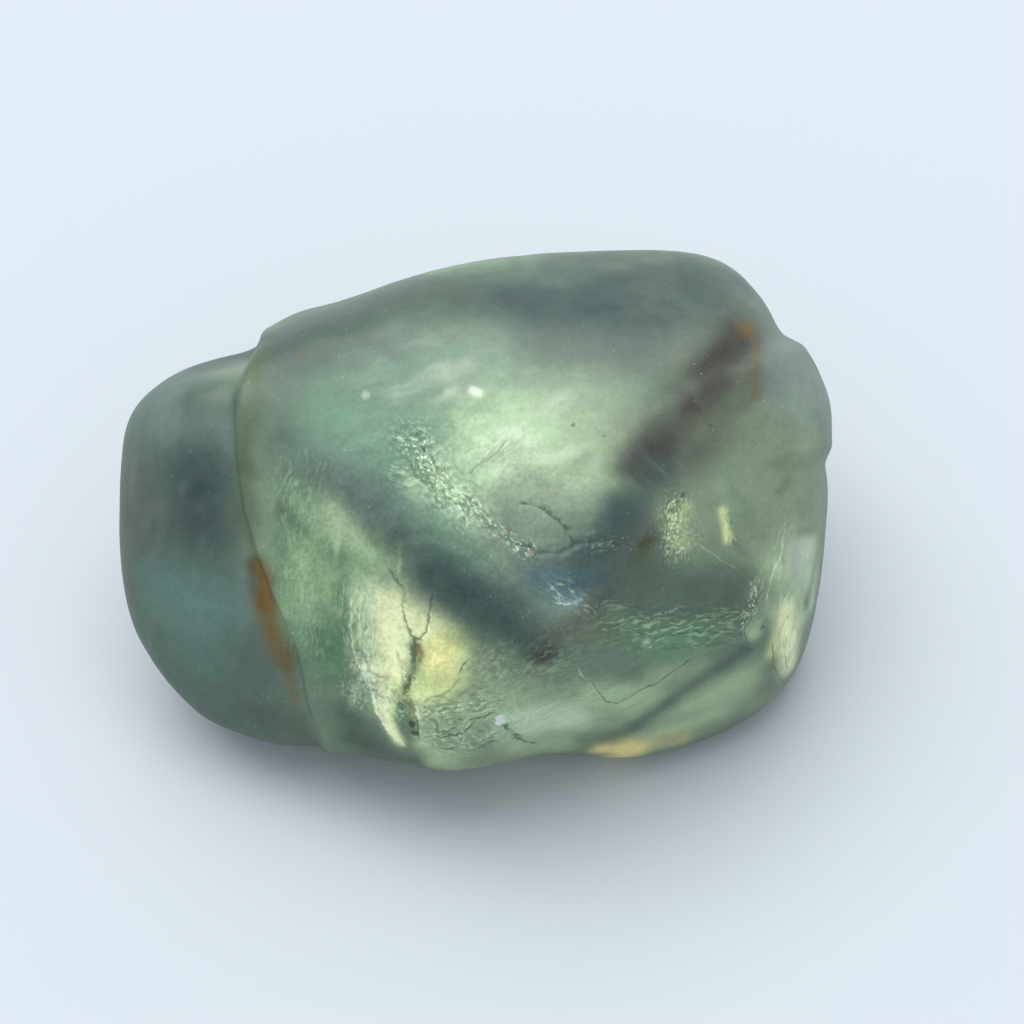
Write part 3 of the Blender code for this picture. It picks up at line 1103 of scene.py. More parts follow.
    behind: tuple[Mark, ...] = (
        Mark(Tint.PALE, 0.7, 2.4, ((84, 122), (100, 130)), 2.5, 0.8, Given.ROUND),
        Mark(Tint.LEMON, 0.6, 1.1, ((84, 118), (92, 121)), 2.0, 0.5, Given.ROUND),
        Mark(Tint.CELERY, 0.8, 3.2, ((40, 118), (58, 132)), 2.5, 0.8, Given.ROUND),
        Mark(Tint.PALE, 0.6, 1.6, ((30, 113),), 2.0, 0.6, Given.ROUND),
        Mark(Tint.SEAFOAM, 0.8, 2.8, ((128, 118), (140, 132)), 2.5, 0.8, Given.ROUND),
        Mark(Tint.PALE, 0.5, 1.5, ((146, 107),), 2.0, 0.6, Given.ROUND),
        Mark(Tint.JADE, 0.6, 3.0, ((350, 112), (5, 128)), 2.5, 0.8, Given.ROUND),
        Mark(Tint.AQUA, 0.6, 3.0, ((176, 112), (190, 130)), 2.5, 0.8, Given.ROUND),
        Mark(Tint.INK, 0.6, 1.0, ((60, 106), (80, 130), (110, 148)), 2.0, 0.8, Given.ROUND),
        Mark(Tint.STEEL, 0.6, 1.3, ((118, 104), (112, 122), (122, 142)), 2.0, 0.8, Given.ROUND),
        Mark(Tint.UMBER, 0.4, 0.6, ((20, 100), (38, 108)), 2.0, 0.5, Given.ROUND),
        Mark(Tint.RUST, 0.6, 0.3, ((97, 123), (104, 129)), 2.0, 0.4, Given.ROUND),
    )
    seeping: tuple[SeepingStain, ...] = (
        SeepingStain(Tint.MOSS, 0.7, 0.1, 0.7, (1.0, -2.0)),
        SeepingStain(Tint.RUST, 0.9, -0.1, 0.38, (0.0, -2.5)),
    )
    veils: tuple[Veil, ...] = (
        Veil(Tint.PRIMROSE, 0.5, 1.3, ((-4.6, -2.6), (-3.6, -6.4)), 84, 0.28, 8.0),
        Veil(Tint.TEAL, 0.5, 1.2, ((-6.0, -3.0), (-4.6, -6.6)), 78, 0.4, 7.0, 73),
        Veil(Tint.MILK, 0.25, 2.2, ((-2.4, 4.4), (2.8, 3.4)), 14, 0.7, 3.0, 75),
        Veil(Tint.SAGE, 0.45, 2.6, ((-2.0, 4.2), (4.5, 3.0)), 25, 0.8, 2.0, 77),
        Veil(Tint.JADE, 0.35, 2.0, ((-4.0, 3.0), (-0.5, 1.5)), -30, 0.6, 3.0, 80),
        Veil(Tint.MIST, 0.45, 2.4, ((8.0, 1.8), (12.0, 1.0)), -50, 0.6, 4.0, 79),
        Veil(Tint.SAGE, 0.35, 2.4, ((9.0, 2.6), (13.0, 0.0)), -60, 0.5, 3.0, 82),
        Veil(Tint.PALE, 0.4, 1.0, ((2.0, -8.4), (9.0, -6.8)), 24, 0.3, 8.0, 81),
        Veil(Tint.ROSE, 0.4, 0.9, ((12.6, -1.6), (12.8, -5.0)), 80, 0.3, 6.0, 83),
        Veil(Tint.ASH_LIGHT, 0.35, 2.6, ((-12.4, 2.5), (-11.5, -4.0)), 75, 0.9, 3.0, 85),
        Veil(Tint.FOG, 0.35, 3.0, ((-4.0, 7.0), (8.0, 8.0)), 8, 0.9, 3.0, 88),
    )
    # Staining, and painted shade along the upper left and left rims.
    stains_and_rim_shade: tuple[Mark, ...] = (
        # Painted shade along the upper left rim and the left rim.
        Mark(Tint.INK, 0.75, 0.5, ((-13.9, 4.7), (-13.1, 5.5), (-11.6, 6.1), (-9.7, 6.7), (-8.2, 7.0))),
        Mark(Tint.INK, 0.5, 0.4, ((-14.6, 2.9), (-14.7, 1.2), (-14.6, -0.5))),
        Mark(Tint.MOSS, 0.7, 0.5, ((-9.0, 5.1), (-9.2, 2.7), (-9.2, -0.4))),
        Mark(Tint.OLIVE, 0.5, 0.4, ((-8.7, 6.7), (-8.9, 5.3))),
        Mark(Tint.OLIVE, 0.4, 0.4, ((-8.7, 4.3), (-9.4, 1.6))),
        Mark(Tint.RUST, 1.0, 0.5, ((-8.8, -2.3), (-8.5, -2.9), (-8.6, -3.7)), 3.0, 0.15),
        Mark(Tint.RUST, 0.7, 0.5, ((-8.7, -4.0), (-8.4, -5.2), (-7.9, -6.2)), 2.5, 0.2),
        Mark(Tint.RUST, 0.4, 0.3, ((-7.8, -6.7), (-7.5, -7.9))),
        Mark(Tint.RUST, 0.8, 0.4, ((11.0, 7.3),), 2.0, 0.1),
        Mark(Tint.RUST, 0.45, 0.2, ((11.4, 6.5), (11.2, 5.5), (11.2, 4.5)), 2.0, 0.15),
        Mark(Tint.OLIVE, 0.5, 0.2, ((14.4, -1.5), (14.1, -2.8), (13.9, -4.0)), 2.0, 0.1),
        # Painted shade, brownish, along the left rim.
        Mark(Tint.ROSE, 0.45, 0.4, ((-14.5, 2.9), (-14.7, -0.5), (-14.6, -3.8))),
        Mark(Tint.OLIVE, 0.6, 0.3, ((6.7, -1.3), (6.4, -1.9)), 2.0, 0.12),
        Mark(Tint.UMBER, 0.5, 0.2, ((6.9, -1.2), (6.5, -1.5)), 2.0, 0.1),
        Mark(Tint.RUST, 0.7, 0.1, ((-2.3, -5.5), (-2.2, -5.8), (-2.3, -6.1)), 2.0, 0.12),
        Mark(Tint.UMBER, 0.5, 0.1, ((-2.4, -5.5), (-2.3, -5.7)), 2.0, 0.06),
        Mark(Tint.MOSS, 0.6, 0.2, ((-9.1, -1.1), (-9.0, -2.1)), 2.0, 0.1),
        Mark(Tint.UMBER, 0.45, 0.2, ((-9.2, -2.2), (-9.1, -3.4)), 2.0, 0.1),
        Mark(Tint.GINGER, 0.55, 0.2, ((-8.6, -3.0), (-8.4, -4.1)), 2.0, 0.15),
        Mark(Tint.OLIVE, 0.6, 0.2, ((13.8, -3.6), (13.8, -4.0)), 2.0, 0.05),
        Mark(Tint.OLIVE, 0.4, 0.2, ((14.0, -0.8), (13.3, -1.0)), 2.0, 0.1),
        Mark(Tint.OLIVE, 0.4, 0.2, ((12.7, 1.1), (12.4, 0.7))),
        Mark(Tint.ROSE, 0.35, 0.2, ((10.4, -1.3), (10.7, -1.6))),
    )

    def colour(self, form: StoneForm, sight: Array) -> Array:
        """Layers the zones, marks and veils over the body colour.

        The body runs through its three colours with broad noise. Each layer then moves the
        colour towards its own by its share, and noise pushes the places about first.

        Args:
            form: the form that the marks are laid on.
            sight: places as right, up and out, in mm.

        Returns:
            Linear red, green and blue, a row each.
        """
        ground = Ground(form, sight, pushes(self.push_noises, sight))
        level = self.body_noise.at(sight)
        patches = 1.0 + self.patchiness * self.patch_noise.at(sight)
        low, middle, high = (np.array(tint.value) for tint in self.body)
        result = middle + ramp(0.0, self.body_span, level)[:, None] * (high - middle)
        result += ramp(0.0, -self.body_span, level)[:, None] * (low - middle)
        # Painted glow, glints and rim shade are layered here with the crystal's own colours.
        deep = (*self.zones, *self.behind, *self.grounds, *self.painted_glows, *self.darks)
        for layer in (*deep, *self.veils, *self.stains_and_rim_shade, *self.seeping):
            covered = np.clip(layer.share(ground) * patches, 0.0, 1.0)
            result += covered[:, None] * (np.array(layer.tint.value) - result)
        return result


@dataclass(frozen=True)
class Crack:
    """A hairline crack along a path, drawn dark by the finish.

    With a strength below 0 it is an edge that catches the light, and is drawn bright.
    """

    half_width_mm: float
    depth_mm: float
    strength: float
    points: Path
    given: Given = Given.IN_SIGHT
    jitter_mm: float = 0.07
    flank: float = 1.5  # the groove's reach, in half widths

    def draw(self, ground: Ground) -> tuple[Array, Array]:
        """Where the places are from the crack.

        Args:
            ground: the surface that it runs on, with noise that makes it ragged.

        Returns:
            The distance to the path in mm, and the signed one.
        """
        trace = Trace(self.points, self.given)
        drawn = ground.moved(self.jitter_mm)
        return trace.away(ground.form, drawn), trace.side(ground.form, drawn)


@dataclass(frozen=True)
class Crumble:
    """Ground that a fracture has broken into small bright steps.

    The steps are drawn out along the lean by the stretch, which makes fibres of them.
    """

    reach_mm: float
    strength: float
    height_mm: float
    sink_mm: float
    points: Path
    lean_deg: float = 0.0
    stretch: float = 1.0
    given: Given = Given.IN_SIGHT
    wander_mm: float = 0.5
    waver_mm: float = 0.25

    def mask(self, ground: Ground) -> Array:
        """How broken the ground is: a bell of the distance to the path.

        Args:
            ground: the surface that it breaks.

        Returns:
            Shares from 0 to the strength.
        """
        trace = Trace(self.points, self.given)
        away = trace.away(ground.form, ground.moved(self.wander_mm))
        return self.strength * hump(away, self.reach_mm)

    def grain(self, ground: Ground) -> Array:
        """The places turned to the lean and squeezed along it, for the finish's noise."""
        along, across = leaning(ground.moved(self.waver_mm), self.lean_deg, self.stretch)
        return np.stack((along, across, ground.sight[:, 2] / self.stretch), axis=1)


@dataclass(frozen=True)
class Ripple:
    """The curved ribs of a shell-shaped break, about a middle given right and up."""

    middle: tuple[float, float]
    inner_mm: float
    outer_mm: float
    wave_mm: float
    height_mm: float
    fade_mm: float = 0.8
    seen_mm: tuple[float, float] = (1.0, 4.0)

    def relief(self, sight: Array) -> Array:
        """Ribs: the sine of the distance from the middle, between the two radii.

        Args:
            sight: places as right, up and out, in mm.

        Returns:
            Heights in mm.
        """
        away = np.hypot(sight[:, 0] - self.middle[0], sight[:, 1] - self.middle[1])
        inside = ramp(self.inner_mm, self.inner_mm + self.fade_mm, away)
        inside = inside * ramp(self.outer_mm, self.outer_mm - self.fade_mm, away)
        ribs = np.sin(2.0 * math.pi * away / self.wave_mm)
        return self.height_mm * ribs * inside * ramp(*self.seen_mm, sight[:, 2])


@dataclass(frozen=True)
class Damage:
    """What tumbling and knocks have done: unevenness, cracks, crumbled ground and ribs."""

    broad_mm: float = 0.05
    broad_noise: Noise = Noise(3.2, 2, 11)
    fine_mm: float = 0.015
    fine_noise: Noise = Noise(0.9, 2, 23)
    push_noises: tuple[Noise, ...] = (Noise(0.9, 4, 61), Noise(0.9, 4, 67), Noise(0.9, 4, 69))
    jitter_noises: tuple[Noise, ...] = (Noise(0.35, 2, 87), Noise(0.35, 2, 89), Noise(0.35, 2, 91))
    step_noise: Noise = Noise(0.28, 2, 93)
    crack_field: float = 6.0  # the farthest that the distances to a crack go
    cracks: tuple[Crack, ...] = (
        Crack(0.07, 0.03, 0.64,
            ((-3.41, -2.46), (-3.13, -2.86), (-2.86, -3.18), (-2.91, -3.87),
             (-2.84, -4.4), (-2.6, -4.97), (-2.53, -5.34))),
        Crack(0.065, 0.03, 0.64,
            ((-1.78, -3.53), (-1.87, -4.3), (-1.96, -4.88), (-2.16, -5.17), (-2.49, -5.33))),
        Crack(0.13, 0.08, 0.7,
            ((-2.53, -5.34), (-2.53, -5.91), (-2.54, -6.44), (-2.71, -7.03), (-2.91, -7.41))),
        Crack(0.05, 0.10, 0.6, ((-2.75, -7.48), (-2.55, -8.07), (-2.4, -8.65), (-2.36, -9.34))),
        Crack(0.07, 0.04, 0.4, ((-3.14, -5.88), (-2.99, -6.58), (-2.99, -7.32))),
        Crack(0.04, 0.02, 0.6, ((-0.4, -6.07), (-0.64, -6.44))),
        Crack(0.045, 0.03, 0.7, ((1.81, 0.2), (2.28, 0.16), (2.68, -0.04))),
        Crack(0.08, 0.05, 0.85, ((2.68, -0.04), (3.03, -0.28), (3.3, -0.51), (3.62, -0.83))),
        Crack(0.07, 0.05, 0.8, ((3.62, -0.83), (3.73, -1.14), (3.89, -1.41))),
        Crack(0.06, 0.04, 0.65,
            ((1.65, -1.41), (2.12, -1.53), (2.51, -1.73), (2.98, -1.73), (3.38, -1.73))),
        Crack(0.08, 0.05, 0.6, ((3.38, -1.73), (3.69, -1.57), (4.09, -1.34), (4.56, -1.34))),
        Crack(0.06, 0.04, 0.45, ((4.56, -1.34), (4.96, -1.14), (5.35, -1.42), (5.67, -1.34))),
        Crack(0.05, 0.03, 0.4, ((2.83, -1.53), (3.22, -1.41), (3.53, -1.61))),
        Crack(0.035, 0.01, 0.5, ((1.23, 2.73), (0.83, 2.25), (0.28, 1.82), (-0.24, 1.46))),
        Crack(0.13, 0.04, 0.7, ((1.22, -8.84), (1.55, -9.18), (1.72, -9.39))),
        Crack(0.05, 0.03, 0.7, ((1.64, -9.29), (1.98, -9.56), (2.54, -9.77))),
        Crack(0.05, 0.03, 0.6, ((-0.24, -8.51), (0.32, -8.42), (0.64, -8.17))),
        Crack(0.05, 0.02, 0.45, ((-0.72, -6.85), (-0.96, -7.27), (-1.45, -7.57), (-2.06, -7.71))),
        Crack(0.05, 0.03, 0.6, ((-1.58, -9.05), (-1.18, -9.04), (-0.85, -8.86))),
        Crack(0.05, 0.03, 0.7, ((-1.34, -9.26), (-0.85, -9.21), (-0.53, -9.07), (-0.2, -8.73))),
        Crack(0.05, 0.02, 0.6, ((-1.39, -9.74), (-1.14, -9.83), (-0.9, -9.78))),
        Crack(0.08, 0.02, 0.45, ((0.08, -9.71), (0.41, -9.63), (0.69, -9.51))),
        Crack(0.04, 0.02, 0.5, ((-2.1, -8.05), (-1.62, -8.2), (-1.13, -8.15), (-0.64, -8.26))),
        Crack(0.04, 0.02, 0.5, ((-2.03, -8.47), (-1.62, -8.63), (-1.54, -8.96))),
        Crack(0.04, 0.02, 0.4, ((-1.21, -7.94), (-0.56, -7.8), (-0.08, -7.58), (0.4, -7.74))),
        Crack(0.035, 0.02, 0.6,
            ((4.44, -6.72), (4.88, -7.3), (5.33, -7.85), (5.75, -7.91), (6.4, -7.58),
             (7.37, -7.09), (8.29, -6.42), (8.69, -6.13))),
        Crack(0.035, 0.01, 0.45, ((4.13, -9.04), (5.29, -8.54), (6.15, -8.2), (6.72, -7.91))),
        Crack(0.035, 0.02, 0.4,
            ((4.88, -3.5), (5.69, -3.79), (6.81, -4.02), (7.65, -4.12), (8.6, -3.94),
             (9.56, -3.87), (10.42, -3.97))),
        Crack(0.05, 0.05, 0.55, ((7.52, -5.67), (8.95, -5.59), (10.06, -5.46), (11.21, -5.73))),
        Crack(0.04, 0.02, 0.55, ((6.95, -4.51), (8.19, -4.38), (9.45, -4.48), (10.66, -4.35))),
        Crack(0.04, 0.02, 0.5, ((6.11, -4.09), (7.15, -4.35), (8.6, -4.18), (10.08, -4.17))),
        Crack(0.04, 0.02, 0.55, ((5.79, -4.88), (7.37, -5.09), (9.05, -4.97), (10.89, -5.12))),
        Crack(0.10, 0.04, 0.6, ((11.03, -5.72), (11.31, -5.82))),
        Crack(0.04, 0.02, 0.5, ((11.14, -5.47), (11.01, -4.95), (11.06, -4.33), (11.26, -3.96))),
        Crack(0.04, 0.03, 0.6, ((12.34, -5.65), (12.43, -6.53), (12.9, -7.17))),
        Crack(0.04, 0.03, 0.6, ((12.9, -7.17), (13.42, -7.58))),
        Crack(0.03, 0.02, 0.35, ((13.42, -4.85), (13.6, -6.2))),
        Crack(0.04, 0.02, 0.6, ((13.01, -6.13), (13.19, -6.74))),
        Crack(0.035, 0.01, 0.45, ((-0.43, -0.35), (-0.59, -1.14))),
        Crack(0.06, 0.03, 0.6, ((-2.22, 2.61), (-1.82, 2.1), (-1.38, 1.34))),
        Crack(0.035, 0.0, -0.5, ((-4.97, -3.57), (-5.08, -4.88), (-4.9, -5.95), (-4.47, -7.08))),
        Crack(0.06, 0.0, -0.9, ((-4.32, -7.37), (-4.05, -8.25), (-3.48, -9.17), (-3.03, -9.59))),
        Crack(0.07, 0.0, -0.9, ((-2.63, -7.56), (-2.43, -8.06), (-2.31, -8.48))),
        Crack(0.04, 0.0, -0.5, ((-2.54, -7.27), (-2.26, -7.64), (-1.81, -7.46))),
        Crack(0.04, 0.0, -0.6, ((-0.57, -8.99), (-0.4, -8.86), (-0.28, -8.64))),
        Crack(0.03, 0.0, -0.4, ((-4.55, -3.03), (-4.7, -4.46), (-4.57, -5.7), (-4.18, -6.94))),
        Crack(0.03, 0.0, -0.35, ((-5.28, -3.04), (-5.44, -4.27), (-5.34, -5.3))),
        Crack(0.04, 0.0, -0.4, ((-3.07, -3.62), (-3.0, -4.44), (-2.77, -5.09))),
        Crack(0.05, 0.0, -0.7, ((-2.36, -5.01), (-2.08, -5.25), (-1.84, -4.92))),
        Crack(0.04, 0.0, -0.45, ((11.88, -3.64), (12.1, -2.7), (12.44, -1.96), (12.63, -0.78))),
        Crack(0.04, 0.0, -0.35, ((6.82, -4.35), (7.36, -4.16), (8.02, -4.09))),
        Crack(0.04, 0.0, -0.4, ((-0.08, 1.7), (1.07, 2.89))),
        Crack(0.04, 0.0, -0.4, ((3.18, -3.68), (3.61, -3.73), (4.08, -3.57))),
        Crack(0.03, 0.0, -0.3, ((2.86, -2.9), (3.06, -3.18), (3.37, -3.41))),
        Crack(0.03, 0.0, -0.22, ((7.15, -4.15), (8.6, -3.9), (10.55, -3.98))),
        Crack(0.03, 0.0, -0.3, ((6.53, -4.66), (7.86, -4.41), (9.24, -4.56), (10.67, -4.48))),
        Crack(0.04, 0.0, -0.4, ((4.14, -6.5), (4.66, -7.12))),
        Crack(0.03, 0.0, -0.25, ((8.97, -1.44), (9.82, -2.05), (10.69, -2.47))),
    )
    crumbles: tuple[Crumble, ...] = (
        Crumble(0.68, 0.9, 0.05, 0.02,
            ((-2.54, 2.65), (-1.82, 1.74), (-1.1, 0.75), (-0.32, 0.04)), -50.0, 1.6),
        Crumble(0.4, 0.5, 0.03, 0.01, ((-3.0, 1.54), (-2.01, 0.75), (-1.42, 0.35)), -20.0, 2.0),
        Crumble(0.36, 0.7, 0.04, 0.02, ((-0.24, -0.04), (0.75, -0.75), (2.12, -1.53)), -45.0, 1.6),
        Crumble(0.48, 0.4, 0.02, 0.01, ((3.14, -3.25), (4.48, -3.81)), -25.0, 2.5),
        Crumble(0.36, 0.22, 0.03, 0.01, ((4.48, -1.53), (6.08, -1.22)), 10.0, 1.5),
        Crumble(0.6, 0.8, 0.04, 0.01, ((-4.64, -3.64), (-4.52, -5.28), (-4.14, -6.94)), 85.0, 5.0),
        Crumble(0.6, 0.9, 0.08, 0.02, ((-4.62, -6.28), (-4.06, -7.11), (-3.5, -7.93)), 60.0, 1.6),
        Crumble(0.36, 0.6, 0.05, 0.02, ((-5.14, -7.39), (-4.49, -7.89)), 60.0, 1.5),
        Crumble(0.72, 0.7, 0.06, 0.02, ((-2.06, -8.05), (-1.05, -8.19), (0.32, -7.83)), 12.0, 2.4),
        Crumble(0.6, 0.65, 0.06, 0.02, ((-1.87, -9.19), (-0.65, -9.47), (0.57, -9.18)), -12.0, 2.2),
        Crumble(0.68, 0.45, 0.05, 0.03,
            ((5.37, -4.47), (6.95, -4.92), (9.04, -4.8), (10.55, -4.68)), 6.0, 4.5),
        Crumble(0.2, 0.6, 0.04, 0.0, ((6.55, -5.43), (6.97, -5.37)), 0.0, 1.5),
        Crumble(0.64, 0.95, 0.05, 0.03, ((7.94, -0.04), (7.97, -1.43)), 80.0, 1.3),
        Crumble(0.24, 0.8, 0.05, 0.05, ((10.0, -0.16), (10.15, -1.25)), 80.0, 2.0),
        Crumble(0.36, 0.9, 0.08, 0.02, ((11.32, -3.22), (11.13, -4.62)), 72.0, 2.0),
        Crumble(0.6, 0.75, 0.03, 0.01, ((12.85, -3.84), (13.2, -6.01)), 84.0, 6.0),
        Crumble(0.4, 0.5, 0.02, 0.01, ((12.59, -0.78), (12.11, -2.9)), 74.0, 6.0),
        Crumble(0.8, 0.3, 0.01, 0.0, ((1.79, -8.78), (3.5, -8.26), (5.0, -7.3)), 22.0, 7.0),
        Crumble(0.96, 0.28, 0.01, 0.0, ((0.16, -6.21), (1.75, -6.59), (3.32, -5.97)), 30.0, 3.0),
        Crumble(1.04, 0.24, 0.015, 0.0, ((-6.98, 1.15), (-7.06, -2.05), (-6.75, -5.33)), 80.0, 4.0),
        Crumble(1.04, 0.22, 0.01, 0.0, ((-0.24, 1.54), (1.74, 2.73)), 42.0, 4.0),
    )
    cracks_behind: tuple[Crack, ...] = (
        Crack(0.05, 0.06, 0.7, ((66, 108), (74, 113), (84, 119), (97, 122), (108, 131)), Given.ROUND),
        Crack(0.04, 0.04, 0.6, ((97, 122), (99, 134), (93, 145)), Given.ROUND),
        Crack(0.05, 0.06, 0.7, ((150, 104), (157, 113), (166, 119), (170, 131)), Given.ROUND),
        Crack(0.04, 0.0, -0.5, ((118, 112), (124, 120), (135, 126)), Given.ROUND),
        Crack(0.05, 0.05, 0.6, ((4, 96), (11, 105), (22, 110), (31, 120)), Given.ROUND),
        Crack(0.04, 0.03, 0.6, ((212, 92), (206, 101), (207, 113)), Given.ROUND),
    )
    crumbles_behind: tuple[Crumble, ...] = (
        Crumble(0.7, 0.8, 0.05, 0.03, ((84, 119), (97, 122)), 10.0, 1.6, Given.ROUND),
        Crumble(0.6, 0.6, 0.04, 0.03, ((157, 113), (166, 119)), -30.0, 1.6, Given.ROUND),
        Crumble(0.7, 0.6, 0.04, 0.03, ((20, 108), (28, 117)), 60.0, 2.0, Given.ROUND),
        Crumble(0.5, 0.5, 0.04, 0.02, ((118, 136), (128, 140)), 0.0, 1.5, Given.ROUND),
    )
    ripples: tuple[Ripple, ...] = (Ripple((-2.2, -4.6), 1.0, 4.4, 0.75, 0.012),)

    def work(self, form: StoneForm, sight: Array) -> tuple[Array, Array, Array, Array]:
        """Works out the relief and the fields that the finish reads.

        Crumbled ground rises by its height times twice the size of a noise less a half, and
        sinks as a whole. A crack sinks by a bell of the distance to it.

        Args:
            form: the form that the paths are laid on.
            sight: places on the form as right, up and out, in mm.

        Returns:
            Heights in mm. For cracks: the signed distance to the nearest over its half
            width, the distance outside it in mm, and its strength. How crumbled the ground
            is, from 0 to 1. The places that the finish takes its grain from.
        """
        relief = self.broad_mm * self.broad_noise.at(sight)
        relief += self.fine_mm * self.fine_noise.at(sight)
        broken = Ground(form, sight, pushes(self.push_noises, sight))
        split = Ground(form, sight, pushes(self.jitter_noises, sight))
        steps = np.abs(self.step_noise.at(sight)) * 2.0 - 0.5
        crumbled, grain = np.zeros(len(sight)), sight.copy()
        for crumble in (*self.crumbles, *self.crumbles_behind):
            mask = crumble.mask(broken)
            relief += mask * (crumble.height_mm * steps - crumble.sink_mm)
            stronger = mask > crumbled
            crumbled = np.where(stronger, mask, crumbled)
            grain = np.where(stronger[:, None], crumble.grain(broken), grain)
        far = self.crack_field
        drawn = np.tile((far, far, 0.0), (len(sight), 1))
        for crack in (*self.cracks, *self.cracks_behind):
            away, side = crack.draw(split)
            relief -= crack.depth_mm * hump(away, crack.flank * crack.half_width_mm)
            found = (side / crack.half_width_mm, away - crack.half_width_mm)
            found = np.stack((*found, np.full(len(sight), crack.strength)), axis=1)
            nearer = (found[:, 1] < drawn[:, 1])[:, None]
            drawn = np.where(nearer, found, drawn)
        for ripple in self.ripples:
            relief += ripple.relief(sight)
        return relief, np.clip(drawn, -far, far), crumbled, grain


@dataclass(frozen=True)
class Speck:
    """A small grain or stain on the surface, about a point given right and up."""

    tint: Tint
    strength: float
    radius_mm: float
    points: Path
    edge_mm: float = 0.06


@dataclass(frozen=True)
class Grain:
    """The sockets that the finish's layers share."""

    place: Socket  # in mm
    clouds: Socket
    grit: Socket
    chips: Socket
    crumbled: Socket


